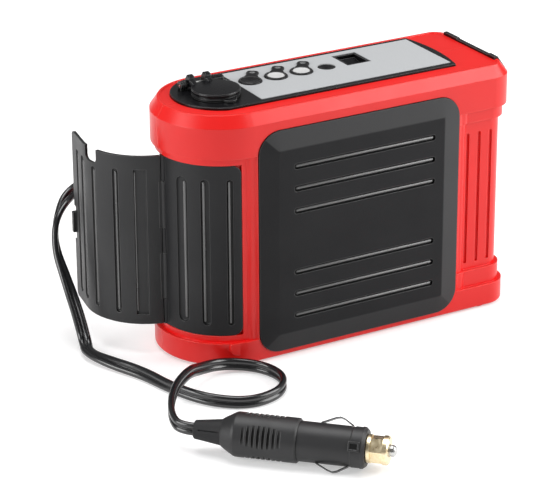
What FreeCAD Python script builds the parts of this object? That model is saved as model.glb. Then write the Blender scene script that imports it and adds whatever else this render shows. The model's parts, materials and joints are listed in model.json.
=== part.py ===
import FreeCAD, Part
import Sketcher
import math
import os

from FreeCAD import Placement, Rotation, Vector

# Portable 12 V battery booster: a two-shell housing with a soft front panel, a side cover and a
# hinged storage door round its left end, a control deck on top with a capped 12 V outlet, a work
# light in its right end, a sealed battery inside, and a flat twin lead that ends in a 12 V plug.
#
# Frame, in millimetres: X runs along the length to the right end, Y from front to rear, Z up.
# The origin is the centre of the housing's footprint, on the surface that it stands on.

SIZES = {
    # housing
    "body_length": 206.5,
    "body_depth": 77.0,
    "body_height": 145.5,
    "foot_height": 1.0,
    "foot_radius": 5.0,
    "wall": 2.4,
    "top_wall": 4.4,
    "corner_radius": 14.0,
    "chamfer_drop": 6.4,
    "chamfer_inset": 4.1,
    "chamfer_rear": 5.5,
    "chamfer_right": 5.3,
    "bottom_round": 1.6,
    "rim_width": 1.4,
    "rim_height": 0.45,
    # stepped waist between the bottom band and the top band
    "step_inset": 2.2,
    "band_low": 14.2,
    "band_high": 121.6,
    "waist_low": 24.3,
    "waist_high": 114.5,
    "right_recess": 65.9,
    "front_recess": -63.0,
    "rear_recess": -44.2,
    "recess_ramp": 6.0,
    # grooves of the right end
    "groove_first": 74.1,
    "groove_pitch": 7.6,
    "groove_width": 2.2,
    "groove_depth": 1.2,
    "groove_low": 28.2,
    "groove_high": 107.6,
    # front panel
    "panel_left": -62.6,
    "panel_right": 64.9,
    "panel_low": 4.4,
    "panel_high": 134.1,
    "panel_radius": 13.0,
    "panel_edge": 0.7,
    "panel_bevel": 11.0,
    "panel_rise": 2.2,
    "panel_seat": 1.0,
    "panel_slot_left": -42.2,
    "panel_slot_right": 47.9,
    "panel_slot_width": 3.4,
    "panel_slot_depth": 1.5,
    "panel_slot_top": 112.7,
    "panel_slot_pitch": 12.9,
    "panel_slot_low": 25.1,
    # side cover and storage door, two plates on one radius
    "plate_inset": 2.4,
    "plate_thickness": 2.0,
    "plate_low": 18.2,
    "plate_high": 117.3,
    "plate_gap": 0.3,
    "plate_start": 2.0,
    "cover_edge": 6.8,
    "cover_corner": 5.0,
    "plate_slot_depth": 1.15,
    "slot_floor_round": 0.9,
    "plate_slot_low": 24.0,
    "plate_slot_high": 109.5,
    "door_open": 80.5,
    "door_flat": 19.4,
    "door_corner": 3.0,
    "notch_angle": 107.3,
    "notch_width": 10.4,
    "notch_depth": 8.0,
    "latch_low": 52.4,
    "latch_high": 72.6,
    "latch_depth": 3.0,
    "latch_tab_low": 57.2,
    "latch_tab_high": 69.2,
    "latch_proud": 1.7,
    # hinge of the door
    "hinge_inset": 3.5,
    "knuckle_radius": 2.2,
    "knuckle_gap": 0.35,
    "pin_radius": 1.2,
    "pin_clearance": 0.08,
    "hinge_relief": 2.7,
    # storage bay behind the door
    "bay_right": -52.0,
    "bay_front": 3.0,
    "bay_low": 20.5,
    "bay_high": 115.3,
    "bay_wall": 1.6,
    "bay_below_outlet": 1.9,
    "bay_behind_outlet": 1.6,
    "fit_gap": 0.2,
    # control deck
    "deck_offset": 2.2,
    "deck_half": 26.3,
    "deck_right": 71.5,
    "deck_bow": 3.4,
    "deck_end": 28.0,
    "deck_shift": 2.0,
    "deck_seat": 2.2,
    "deck_proud": 1.0,
    "deck_ledge": 3.0,
    "label_left": -50.6,
    "label_right": 69.9,
    "label_half": 23.3,
    "label_thick": 0.5,
    "label_proud": 0.2,
    "key_first": -42.1,
    "key_pitch": 16.1,
    "key_offset": 4.9,
    "key_radius": 6.6,
    "key_neck": 4.4,
    "key_waist": 3.1,
    "key_waist_reach": 9.2,
    "key_tail": 3.5,
    "key_tail_reach": 15.5,
    "key_tail_round": 2.2,
    "key_lamp_reach": 12.2,
    "key_turn": -34.0,
    "key_proud": 0.9,
    "disc_radius": 4.9,
    "running_gap": 0.3,
    "button_travel": 0.6,
    "tact_case": 3.6,
    "tact_plunger": 0.6,
    "light_button_radius": 4.6,
    "switch_left": 17.5,
    "switch_right": 32.8,
    "switch_front": 3.0,
    "switch_rear": 21.0,
    "switch_wall": 1.2,
    "switch_drop": 1.6,
    "switch_deep": 10.0,
    "rocker_tilt": 7.0,
    # 12 V outlet and its cap
    "outlet_left": 3.6,
    "outlet_front": 2.0,
    "outlet_bore": 10.6,
    "sleeve_wall": 0.6,
    "outlet_wall": 1.0,
    "outlet_depth": 41.0,
    "outlet_floor": 4.0,
    "contact_room": 4.6,
    "outlet_collar": 1.4,
    "cap_rim": 1.3,
    "cap_dome": 0.5,
    "cap_height": 4.4,
    "cap_groove": 0.5,
    "cap_hinge_rise": 2.5,
    "cap_knuckle": 2.2,
    "cap_lug_rib": 0.25,
    "cap_arm_head": 2.7,
    "cap_arm_rise": 3.2,
    "cap_arm_bevel": 0.65,
    "cap_pin_radius": 0.9,
    # work light in the right end
    "light_half": 26.0,
    "light_low": 125.0,
    "light_depth": 7.4,
    "light_back": 1.4,
    "lamp_base": 0.8,
    "lens_thick": 1.3,
    "lens_sink": 0.1,
    "light_proud": 0.3,
    "light_rise": 0.7,
    "light_pad_rise": 0.5,
    "light_window_half": 22.0,
    "light_window_low": 127.6,
    "light_window_high": 138.4,
    # battery and electronics
    "battery_left": -24.5,
    "battery_long": 90.0,
    "battery_deep": 70.0,
    "battery_tall": 101.0,
    "board_drop": 12.0,
    "board_thick": 1.6,
    "board_left": -42.0,
    "board_right": 66.0,
    "board_half": 22.0,
    # screws
    "post_radius": 5.0,
    "screw_radius": 1.5,
    "screw_head": 3.0,
    "screw_seat": 14.0,
    "screw_reach": 12.0,
    # lead
    "lead_width": 7.2,
    "gland_x": -34.0,
    "gland_z": 70.0,
    "gland_long": 18.0,
    "gland_radius": 6.6,
    "gland_neck": 4.6,
    # 12 V plug
    "barrel_radius": 10.4,
    "grip_wall": 1.25,
    "relief_long": 15.0,
    "plug_flare": 6.5,
    "grip_long": 33.9,
    "grip_shoulder": 1.8,
    "grip_field_turn": 66.0,
    "grip_groove_width": 1.4,
    "grip_groove_pitch": 2.7,
    "barrel_long": 27.6,
    "ring_long": 7.5,
    "collar_long": 11.5,
    "collar_radius": 7.6,
    "nut_corner": 7.3,
    "tip_long": 3.6,
    "tip_radius": 3.2,
    "tip_travel": 2.0,
    "barrel_floor": 8.0,
    "fuse_long": 29.6,
    "fuse_radius": 3.1,
    "contact_turn": 47.0,
    "contact_thick": 0.5,
    "contact_width": 2.2,
    "contact_rise": 4.3,
}

# Slots of the side cover, and of the door's round and flat parts: angle or place, then width.
COVER_SLOTS = ((-154.5, 7.0), (-132.5, 4.8), (-111.0, 3.4))
DOOR_SLOTS = ((158.2, 7.0), (136.0, 3.4), (111.5, 3.4))
FLAT_SLOTS = ((-1.0, 5.6), (9.0, 4.8))

# Depths of the cross grooves in each of the plug grip's oval fields, from rear to front.
GRIP_GROOVES = (0.9, 1.25, 1.5, 1.6, 1.6, 1.5, 1.25, 0.9)

# The lead lies as its owner left it: out of the gland, down past the door, round on the floor.
LEAD_ROUTE = [
    (-34.0, 56.5, 70.0),
    (-34.0, 72.0, 70.0),
    (-44.0, 86.0, 70.0),
    (-66.0, 92.0, 71.0),
    (-95.0, 88.0, 76.0),
    (-122.0, 73.0, 78.5),
    (-137.0, 62.5, 67.0),
    (-142.5, 56.0, 52.5),
    (-141.0, 42.5, 37.0),
    (-139.5, 30.0, 22.0),
    (-139.5, 22.0, 7.5),
    (-139.0, 11.0, 3.7),
    (-136.0, -4.0, 3.7),
    (-127.5, -25.0, 3.7),
    (-122.5, -49.0, 3.7),
    (-113.0, -71.0, 3.7),
    (-95.5, -86.0, 3.7),
    (-74.5, -83.0, 3.7),
    (-63.5, -68.0, 3.7),
    (-68.0, -48.5, 3.7),
    (-86.0, -37.5, 5.0),
    (-105.0, -45.0, 9.0),
    (-117.5, -58.0, 15.5),
    (-131.5, -70.0, 15.4),
    (-142.0, -85.0, 14.0),
    (-147.0, -97.0, 12.5),
    (-147.5, -106.0, 11.65),
    (-141.7, -111.5, 11.65),
]
PLUG_HEADING = -43.5

doc = FreeCAD.newDocument("battery_booster")
sheet = doc.addObject("Spreadsheet::Sheet", "Sizes")
NODES = []


class Size:
    """A length, angle or place with its number and the expression that the document binds it to."""

    def __init__(self, number, text):
        self.number = float(number)
        self.text = text

    def _join(self, other, sign, number, flip=False):
        a, b = (other.text, self.text) if flip else (self.text, other.text)
        return Size(number, "(" + a + " " + sign + " " + b + ")")

    def __add__(self, other):
        other = size(other)
        return self._join(other, "+", self.number + other.number)

    def __sub__(self, other):
        other = size(other)
        return self._join(other, "-", self.number - other.number)

    def __mul__(self, other):
        other = size(other)
        return self._join(other, "*", self.number * other.number)

    def __truediv__(self, other):
        other = size(other)
        return self._join(other, "/", self.number / other.number)

    def __radd__(self, other):
        return size(other) + self

    def __rsub__(self, other):
        return size(other) - self

    def __rmul__(self, other):
        return size(other) * self

    def __neg__(self):
        return size(0) - self


def size(value):
    return value if isinstance(value, Size) else Size(value, repr(float(value)))


def root(value):
    return Size(math.sqrt(value.number), "sqrt(" + value.text + ")")


def cosine(degrees):
    degrees = size(degrees)
    return Size(math.cos(math.radians(degrees.number)), "cos(" + degrees.text + ")")


def sine(degrees):
    degrees = size(degrees)
    return Size(math.sin(math.radians(degrees.number)), "sin(" + degrees.text + ")")


def fill_sheet():
    for row, (name, number) in enumerate(SIZES.items(), 1):
        sheet.set("A%d" % row, name)
        sheet.set("B%d" % row, str(number))
        sheet.setAlias("B%d" % row, name)
    doc.recompute()


class Named:
    """D.wall is the sheet's cell of that name, as a Size."""

    def __getattr__(self, name):
        return Size(getattr(sheet, name), "Sizes." + name)


D = Named()


# ---------------------------------------------------------------- sketches and features

def new_body(label, x=0, y=0, z=0):
    body = doc.addObject("PartDesign::Body", label)
    body.Label = label
    for axis, place in zip("xyz", (x, y, z)):
        body.setExpression("Placement.Base." + axis, size(place).text)
    return body


def keep(item, label):
    """Marks a document object as one node of the assembly."""
    item.Label = label
    NODES.append(item)
    return item


def origin_plane(body, role):
    return next(f for f in body.Origin.OriginFeatures if f.Role == role)


def new_sketch(body, name, plane, along):
    """A sketch on one of the body's own planes, moved along the plane's normal."""
    sketch = body.newObject("Sketcher::SketchObject", name)
    sketch.AttachmentSupport = [(origin_plane(body, plane), "")]
    sketch.MapMode = "FlatFace"
    sketch.setExpression("AttachmentOffset.Base.z", size(along).text)
    return sketch


def bind(sketch, constraint, value):
    index = sketch.addConstraint(constraint)
    sketch.setExpression("Constraints[%d]" % index, value.text)


def arc_between(start, end, radius):
    """The shorter arc from start to end; a positive radius turns left, a negative one right."""
    chord = end - start
    side = Vector(-chord.y, chord.x, 0).normalize()
    rise = math.sqrt(max(radius * radius - chord.Length ** 2 / 4, 0.0))
    centre = (start + end) / 2 + side * (rise if radius > 0 else -rise)
    first = math.atan2(start.y - centre.y, start.x - centre.x)
    last = math.atan2(end.y - centre.y, end.x - centre.x)
    circle = Part.Circle(centre, Vector(0, 0, 1), abs(radius))
    if radius > 0:
        return Part.ArcOfCircle(circle, first, last if last > first else last + 2 * math.pi)
    return Part.ArcOfCircle(circle, last, first if first > last else first + 2 * math.pi)


def draw_loop(sketch, corners):
    """A closed outline. A corner is (x, y), or (x, y, radius) where an arc leaves it."""
    corners = [(size(c[0]), size(c[1]), size(c[2]) if len(c) > 2 else None) for c in corners]
    points = [Vector(c[0].number, c[1].number, 0) for c in corners]
    edges = []
    for here, (corner, start) in enumerate(zip(corners, points)):
        end = points[(here + 1) % len(points)]
        radius = corner[2]
        if radius is None:
            edges.append((sketch.addGeometry(Part.LineSegment(start, end), False), 1, 2))
            continue
        shape = arc_between(start, end, radius.number)
        forward = radius.number > 0
        edges.append((sketch.addGeometry(shape, False), 1 if forward else 2, 2 if forward else 1))
    for here, (edge, first, last) in enumerate(edges):
        following, following_first, _ = edges[(here + 1) % len(edges)]
        sketch.addConstraint(Sketcher.Constraint("Coincident", edge, last, following, following_first))
        x, y, radius = corners[here]
        bind(sketch, Sketcher.Constraint("DistanceX", -1, 1, edge, first, x.number), x)
        bind(sketch, Sketcher.Constraint("DistanceY", -1, 1, edge, first, y.number), y)
        if radius is not None:
            wide = radius if radius.number > 0 else -radius
            bind(sketch, Sketcher.Constraint("Radius", edge, wide.number), wide)


def draw_circle(sketch, x, y, radius):
    x, y, radius = size(x), size(y), size(radius)
    circle = Part.Circle(Vector(x.number, y.number, 0), Vector(0, 0, 1), radius.number)
    edge = sketch.addGeometry(circle, False)
    bind(sketch, Sketcher.Constraint("DistanceX", -1, 1, edge, 3, x.number), x)
    bind(sketch, Sketcher.Constraint("DistanceY", -1, 1, edge, 3, y.number), y)
    bind(sketch, Sketcher.Constraint("Radius", edge, radius.number), radius)


def box_corners(left, low, right, high):
    return [(left, low), (right, low), (right, high), (left, high)]


def round_box(left, low, right, high, radius):
    left, low, right, high, radius = (size(v) for v in (left, low, right, high, radius))
    return [
        (left + radius, low), (right - radius, low, radius),
        (right, low + radius), (right, high - radius, radius),
        (right - radius, high), (left + radius, high, radius),
        (left, high - radius), (left, low + radius, radius),
    ]


def feature(body, kind, name, sketch, **settings):
    item = body.newObject("PartDesign::" + kind, name)
    item.Profile = sketch
    for key, value in settings.items():
        if isinstance(value, Size):
            item.setExpression(key, value.text)
        else:
            setattr(item, key, value)
    return item


def pad(body, name, plane, along, long, loops=(), circles=(), backwards=False):
    """Adds material from the sketch along its plane's normal, or against it when backwards."""
    sketch = new_sketch(body, name + "_sketch", plane, along)
    for corners in loops:
        draw_loop(sketch, corners)
    for circle in circles:
        draw_circle(sketch, *circle)
    return feature(body, "Pad", name, sketch, Length=size(long), Reversed=backwards)


def cut(body, name, plane, along, deep, loops=(), circles=(), backwards=False, turn=None):
    """Removes material from the sketch against its plane's normal, or along it when backwards."""
    sketch = new_sketch(body, name + "_sketch", plane, along)
    for corners in loops:
        draw_loop(sketch, corners)
    for circle in circles:
        draw_circle(sketch, *circle)
    if turn is not None:
        angle, radius = size(turn[0]), size(turn[1])
        sketch.AttachmentOffset = Placement(Vector(), Rotation(Vector(0, 1, 0), angle.number + 90))
        sketch.setExpression("AttachmentOffset.Base.x", (radius * cosine(angle)).text)
        sketch.setExpression("AttachmentOffset.Base.z", (-(radius * sine(angle))).text)
        sketch.setExpression("AttachmentOffset.Rotation.Angle", (angle + 90).text)
    doc.recompute()
    before = body.Shape.Volume
    item = feature(body, "Pocket", name, sketch, Length=size(deep), Reversed=backwards)
    doc.recompute()
    if not item.Shape.isNull() and before - item.Shape.Volume < 1e-3:
        raise RuntimeError(body.Label + "." + name + " removes nothing")
    return item


def loft(body, name, plane, levels):
    """Adds a solid ruled between outlines, each given as (place along the normal, corners)."""
    sketches = []
    for step, (along, corners) in enumerate(levels):
        sketch = new_sketch(body, "%s_level%d" % (name, step), plane, along)
        draw_loop(sketch, corners)
        sketches.append(sketch)
    item = body.newObject("PartDesign::AdditiveLoft", name)
    item.Profile = sketches[0]
    item.Sections = sketches[1:]
    item.Ruled = True
    return item


def turned(body, name, corners):
    """A solid of revolution round the body's own Z axis, from an outline of (radius, height)."""
    sketch = new_sketch(body, name + "_sketch", "XZ_Plane", 0)
    draw_loop(sketch, corners)
    return feature(body, "Revolution", name, sketch, ReferenceAxis=(sketch, ["V_Axis"]), Angle=360.0)


def edges_where(item, wanted):
    doc.recompute()
    found = []
    for number, edge in enumerate(item.Shape.Edges, 1):
        points = [edge.valueAt(edge.FirstParameter + part * (edge.LastParameter - edge.FirstParameter))
                  for part in (0.0, 0.5, 1.0)]
        if wanted(edge, points):
            found.append("Edge%d" % number)
    return found


def rounded(body, name, item, radius, wanted):
    fillet = body.newObject("PartDesign::Fillet", name)
    fillet.Base = (item, edges_where(item, wanted))
    fillet.setExpression("Radius", size(radius).text)
    return fillet


def chamfered(body, name, item, width, wanted):
    chamfer = body.newObject("PartDesign::Chamfer", name)
    chamfer.Base = (item, edges_where(item, wanted))
    chamfer.setExpression("Size", size(width).text)
    return chamfer


def at_height(height):
    level = size(height).number
    return lambda edge, points: all(abs(p.z - level) < 1e-4 for p in points)


# ---------------------------------------------------------------- shared places

def half_depth():
    return D.body_depth / 2


def arc_x():
    """Centre of the round left end, on the mid plane."""
    return half_depth() - D.body_length / 2


def right_x():
    return D.body_length / 2


def plate_outer():
    return half_depth() - D.plate_inset


def hinge_radius():
    """The door hinge's distance from the round end's centre."""
    return half_depth() - D.hinge_inset


def deck_top():
    return D.body_height + D.deck_proud


def label_top():
    return deck_top() + D.label_proud


def board_top():
    return D.body_height - D.board_drop


# ---------------------------------------------------------------- housing shells

def half_outline(side, inset, flank=None, end=None):
    """Half of the housing's outline in plan, from the mid plane to the front (-1) or rear (+1).

    It is drawn in by inset at the left end, by flank along the side and by end at the right.
    """
    inset = size(inset)
    flank = inset if flank is None else flank
    end = inset if end is None else end
    half, right, left = half_depth() - flank, right_x() - end, arc_x()
    corner = D.corner_radius - end if inset.number < D.corner_radius.number else size(0.5)
    reach = half_depth() - inset
    shift = (reach * reach - half * half) / (2 * reach)
    return [
        (right, 0), (right, side * (half - corner), side * corner),
        (right - corner, side * half), (left, side * half, side * (reach - shift)),
        (left - reach, 0),
    ]


def ramp_radius(long, inset):
    """The radius of the two equal arcs that lead from a face down to its recess."""
    return (long * long + inset * inset) / (4 * inset)


def right_recess(side, inset):
    """The recess round the right end, with a soft ramp down from the flat face."""
    half, right = half_depth(), right_x()
    corner = D.corner_radius - inset
    out = 2
    start, long = D.right_recess, D.recess_ramp
    curve = ramp_radius(long, inset)
    return [
        (start, side * (half + out)), (start, side * half, side * curve),
        (start + long / 2, side * (half - inset / 2), -side * curve),
        (start + long, side * (half - inset)),
        (right - inset - corner, side * (half - inset), -side * corner),
        (right - inset, side * (half - inset - corner)),
        (right - inset, -side * out), (right + out, -side * out), (right + out, side * (half + out)),
    ]


def left_recess(side, inset, edge, ramp=None):
    """The recess round the left end, from its edge on the front or rear face to the mid plane."""
    half, left = half_depth(), arc_x()
    inner = half - inset
    out = 2
    edge = size(edge)
    corners = [(edge, side * (half + out))]
    if ramp is not None:
        curve = ramp_radius(ramp, inset)
        across = edge - ramp - left
        corners += [(edge, side * half, -side * curve),
                    (edge - ramp / 2, side * (half - inset / 2), side * curve),
                    (edge - ramp, side * root(inner * inner - across * across), side * inner)]
    elif edge.number > left.number:
        corners += [(edge, side * inner), (left, side * inner, side * inner)]
    else:
        across = edge - left
        corners += [(edge, side * root(inner * inner - across * across), side * inner)]
    corners += [(left - inner, 0), (left - inner, -side * out),
                (left - half - out, -side * out), (left - half - out, side * (half + out))]
    return corners


def deck_outline(inset):
    """The control deck in plan: rounded off at the left, bowed at the right."""
    inset = size(inset)
    half, end = D.deck_half - inset, D.deck_end - inset
    bow = (D.deck_half * D.deck_half + D.deck_bow * D.deck_bow) / (2 * D.deck_bow)
    centre, middle = arc_x() + D.deck_shift, D.deck_offset
    left, right = centre - root(end * end - half * half), D.deck_right - inset
    return [
        (left, middle - half), (right, middle - half, bow), (right, middle + half),
        (left, middle + half, end), (centre - end, middle, end),
    ]


def post_places():
    low, high = D.foot_height + 11, D.body_height - 35
    return [
        (-36, low), (-36, high), (24, D.body_height - 33), (82, high), (82, low), (-75, low),
    ]


def upright_slot(x, low, high, width):
    """An upright slot with round ends."""
    x, low, high, half = size(x), size(low), size(high), size(width) / 2
    return [
        (x - half, low + half, half), (x, low, half), (x + half, low + half),
        (x + half, high - half, half), (x, high, half), (x - half, high - half),
    ]


def level_slot(left, right, z, width):
    left, right, z, half = size(left), size(right), size(z), size(width) / 2
    return [
        (left + half, z - half), (right - half, z - half, half), (right, z, half),
        (right - half, z + half), (left + half, z + half, half), (left, z, half),
    ]


def shell(label, side):
    """One half of the housing: side -1 is the front shell, +1 the rear shell."""
    body = new_body(label)
    low, high, half = D.foot_height, D.body_height, half_depth()
    front = side < 0
    shoulder = high - D.chamfer_drop
    pad(body, "block", "XY_Plane", low, shoulder - low, [half_outline(side, 0)])
    side_inset = D.chamfer_inset if front else D.chamfer_rear
    top = loft(body, "shoulder", "XY_Plane", [
        (shoulder, half_outline(side, 0)),
        (high, half_outline(side, D.chamfer_inset, side_inset, D.chamfer_right))])
    level = at_height(low)
    rounded(body, "bottom_round", top, D.bottom_round,
            lambda edge, points: level(edge, points) and max(abs(p.y) for p in points) > 0.01)
    rim = D.rim_width
    cut(body, "rim_inside", "XY_Plane", high + 1, D.rim_height + 1, [half_outline(
        side, D.chamfer_inset + rim, side_inset + rim, D.chamfer_right + rim)])

    # rooms inside: one between the recesses, one along the whole length inside the deepest step
    ceiling, floor = high - D.top_wall, low + D.wall
    room_left = (D.front_recess if front else D.rear_recess) + D.wall
    room_right = D.right_recess + D.wall / 4
    cut(body, "battery_room", "XY_Plane", ceiling, ceiling - floor,
        [[(room_left, side * -1), (room_right, side * -1),
          (room_right, side * (half - D.wall)), (room_left, side * (half - D.wall))]])
    cut(body, "end_rooms", "XY_Plane", ceiling, ceiling - floor,
        [half_outline(side, 2 * D.step_inset + D.plate_gap + D.wall)])

    # screw posts from the wall to the mid plane
    pad(body, "posts", "XZ_Plane", 0, half - D.wall / 2, (),
        [(x, z, D.post_radius) for x, z in post_places()], backwards=not front)

    # the stepped waist: two steps at each end
    cut(body, "right_step", "XY_Plane", D.band_high, D.band_high - D.band_low,
        [right_recess(side, D.step_inset)])
    cut(body, "right_waist", "XY_Plane", D.waist_high, D.waist_high - D.waist_low,
        [right_recess(side, 2 * D.step_inset)])
    edge = D.front_recess if front else D.rear_recess
    cut(body, "left_step", "XY_Plane", D.band_high, D.band_high - D.band_low,
        [left_recess(side, D.step_inset, edge, D.recess_ramp if front else None)])
    plate_edge = arc_x() - D.cover_edge + D.plate_gap if front else arc_x() + D.door_flat + D.plate_gap
    sunk = D.plate_inset + D.plate_thickness + (0 if front else D.plate_gap)
    top, deep = D.plate_high + D.plate_gap, D.plate_high - D.plate_low + 2 * D.plate_gap
    cut(body, "plate_recess", "XY_Plane", top, deep, [left_recess(side, sunk, plate_edge)])
    cut(body, "hinge_channel", "XY_Plane", top, deep, (),
        [(arc_x() - hinge_radius(), 0, D.hinge_relief)])

    # grooves round the right end
    reach = 2 * D.step_inset + D.groove_depth
    cut(body, "face_grooves", "XZ_Plane", half if front else -half, reach,
        [upright_slot(D.groove_first + D.groove_pitch * i, D.groove_low, D.groove_high, D.groove_width)
         for i in range(3)], backwards=not front)
    cut(body, "end_grooves", "YZ_Plane", right_x(), reach,
        [upright_slot(side * D.groove_pitch * (i + 0.5), D.groove_low, D.groove_high, D.groove_width)
         for i in range(3)])

    # deck seat with its ledge, and the work light's notch
    cut(body, "deck_seat", "XY_Plane", high + 1, D.deck_seat + 1, [deck_outline(-D.fit_gap)])
    cut(body, "deck_opening", "XY_Plane", high, D.top_wall + 1, [deck_outline(D.deck_ledge)])
    notch = D.light_half + D.fit_gap
    cut(body, "light_notch", "XY_Plane", high + 1, high + 1 - D.light_low + D.fit_gap,
        [box_corners(right_x() - D.light_depth, -notch, right_x() + 1, notch)])

    # screw holes
    if front:
        cut(body, "screw_holes", "XZ_Plane", 0, 14, (),
            [(x, z, D.screw_radius) for x, z in post_places()], backwards=True)
        cut(body, "panel_seat", "XZ_Plane", half + 1, D.panel_seat + 1,
            [round_box(D.panel_left - D.fit_gap, D.panel_low - D.fit_gap,
                       D.panel_right + D.fit_gap, D.panel_high + D.fit_gap,
                       D.panel_radius + D.fit_gap)])
    else:
        cut(body, "screw_holes", "XZ_Plane", 0, half + 1, (),
            [(x, z, D.screw_radius + 0.1) for x, z in post_places()])
        cut(body, "screw_wells", "XZ_Plane", -half - 1, half + 1 - D.screw_seat, (),
            [(x, z, D.screw_head + 0.3) for x, z in post_places()], backwards=True)
        far = arc_x() - half - 2
        cut(body, "bay_mouth", "XY_Plane", bay_step(), bay_step() - D.bay_low,
            [box_corners(far, D.bay_front, D.bay_right, half + 2)])
        cut(body, "bay_top", "XY_Plane", D.bay_high, D.bay_high - bay_step(),
            [box_corners(far, bay_step_front(), D.bay_right, half + 2)])
        cut(body, "gland_hole", "XZ_Plane", -half - 1, D.wall + 2, (),
            [(D.gland_x, D.gland_z, D.gland_neck)], backwards=True)
    pad(body, "feet", "XY_Plane", 0, low, (),
        [(84, side * 31, D.foot_radius), (-82, side * 21, D.foot_radius)])
    return keep(body, label)


def front_panel():
    body = new_body("front_panel")
    face = half_depth() - D.panel_seat
    outline = round_box(D.panel_left, D.panel_low, D.panel_right, D.panel_high, D.panel_radius)
    pad(body, "plate", "XZ_Plane", face, D.panel_seat + D.panel_edge, [outline])
    lip, crown = half_depth() + D.panel_edge, half_depth() + D.panel_edge + D.panel_rise
    inner = round_box(D.panel_left + D.panel_bevel, D.panel_low + D.panel_bevel,
                      D.panel_right - D.panel_bevel, D.panel_high - D.panel_bevel,
                      D.panel_radius - D.panel_bevel)
    loft(body, "bevel", "XZ_Plane", [(lip, outline), (crown, inner)])
    heights = [D.panel_slot_top - D.panel_slot_pitch * i for i in range(3)]
    heights += [D.panel_slot_low + D.panel_slot_pitch * i for i in range(3)]
    slots = cut(body, "slots", "XZ_Plane", crown + 0.5, D.panel_slot_depth + 0.5, [
        level_slot(D.panel_slot_left, D.panel_slot_right, z, D.panel_slot_width) for z in heights])
    floor = (D.panel_slot_depth - crown).number
    rounded(body, "slot_floors", slots, D.slot_floor_round,
            lambda e, points: all(abs(p.y - floor) < 1e-4 for p in points))
    return keep(body, "front_panel")


# ---------------------------------------------------------------- side cover, door and hinge

def knuckles(side):
    """Heights of the hinge's knuckles: three on the cover (-1), two on the door (+1)."""
    tall = D.plate_high - D.plate_low
    ends = [D.plate_low + tall * part for part in (0, 0.15, 0.425, 0.575, 0.85, 1)]
    spans = list(zip(ends[:-1], ends[1:]))
    gap = D.knuckle_gap / 2
    if side < 0:
        return [(low + (gap if i else 0), high - (gap if i < 2 else 0))
                for i, (low, high) in enumerate(spans[0::2])]
    return [(low + gap, high - gap) for low, high in spans[1::2]]


def add_knuckles(body, side):
    """Adds one plate's knuckles, and makes room in it for those of the other plate."""
    inner, outer = plate_outer() - D.plate_thickness, plate_outer()
    room = D.knuckle_radius + D.running_gap
    gap = D.knuckle_gap / 2
    for number, (low, high) in enumerate(knuckles(-side)):
        cut(body, "knuckle_room%d" % number, "XY_Plane", high + gap, high - low + 2 * gap, (),
            [(-hinge_radius(), 0, room)])
    web = [(-outer, side * 0.5), (-inner, side * 0.5), (-inner, side * 3.6), (-outer, side * 3.6)]
    for number, (low, high) in enumerate(knuckles(side)):
        pad(body, "knuckle%d" % number, "XY_Plane", low, high - low, (),
            [(-hinge_radius(), 0, D.knuckle_radius)])
        pad(body, "web%d" % number, "XY_Plane", low, high - low, [web])
    clearance = D.pin_clearance if side > 0 else D.pin_clearance / 2
    cut(body, "pin_bore", "XY_Plane", D.plate_high + 1, D.plate_high - D.plate_low + 2, (),
        [(-hinge_radius(), 0, D.pin_radius + clearance)])


def radial_slot(body, name, angle, outline):
    """A slot with a rounded floor, cut into a round plate along the radius at this angle."""
    reach = plate_outer()
    slot = cut(body, name, "XZ_Plane", 0, D.plate_slot_depth + 1, [outline], turn=(angle, reach + 1))
    floor = (reach - D.plate_slot_depth).number
    out = Vector(cosine(angle).number, sine(angle).number, 0)
    rounded(body, name + "_floor", slot, D.slot_floor_round,
            lambda e, points: all(abs(p * out - floor) < 1e-4 for p in points))


def plate_slot(width):
    """The outline of a slot as tall as the plates allow."""
    return upright_slot(0, D.plate_slot_low, D.plate_slot_high, width)


def side_cover():
    body = new_body("side_cover", arc_x())
    outer, inner = plate_outer(), plate_outer() - D.plate_thickness + D.fit_gap / 2
    start, edge = D.plate_start, D.cover_edge
    plate = pad(body, "plate", "XY_Plane", D.plate_low, D.plate_high - D.plate_low, [[
        (-(outer * cosine(start)), -(outer * sine(start)), outer),
        (-edge, -root(outer * outer - edge * edge)),
        (-edge, -root(inner * inner - edge * edge), -inner),
        (-(inner * cosine(start)), -(inner * sine(start))),
    ]])
    limit = -edge.number
    rounded(body, "corners", plate, D.cover_corner, lambda e, points: (
        all(abs(p.x - limit) < 1e-4 for p in points) and abs(points[0].z - points[2].z) < 1e-4))
    for number, (angle, width) in enumerate(COVER_SLOTS):
        radial_slot(body, "slot%d" % number, angle, plate_slot(width))
    add_knuckles(body, -1)
    return keep(body, "side_cover")


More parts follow.
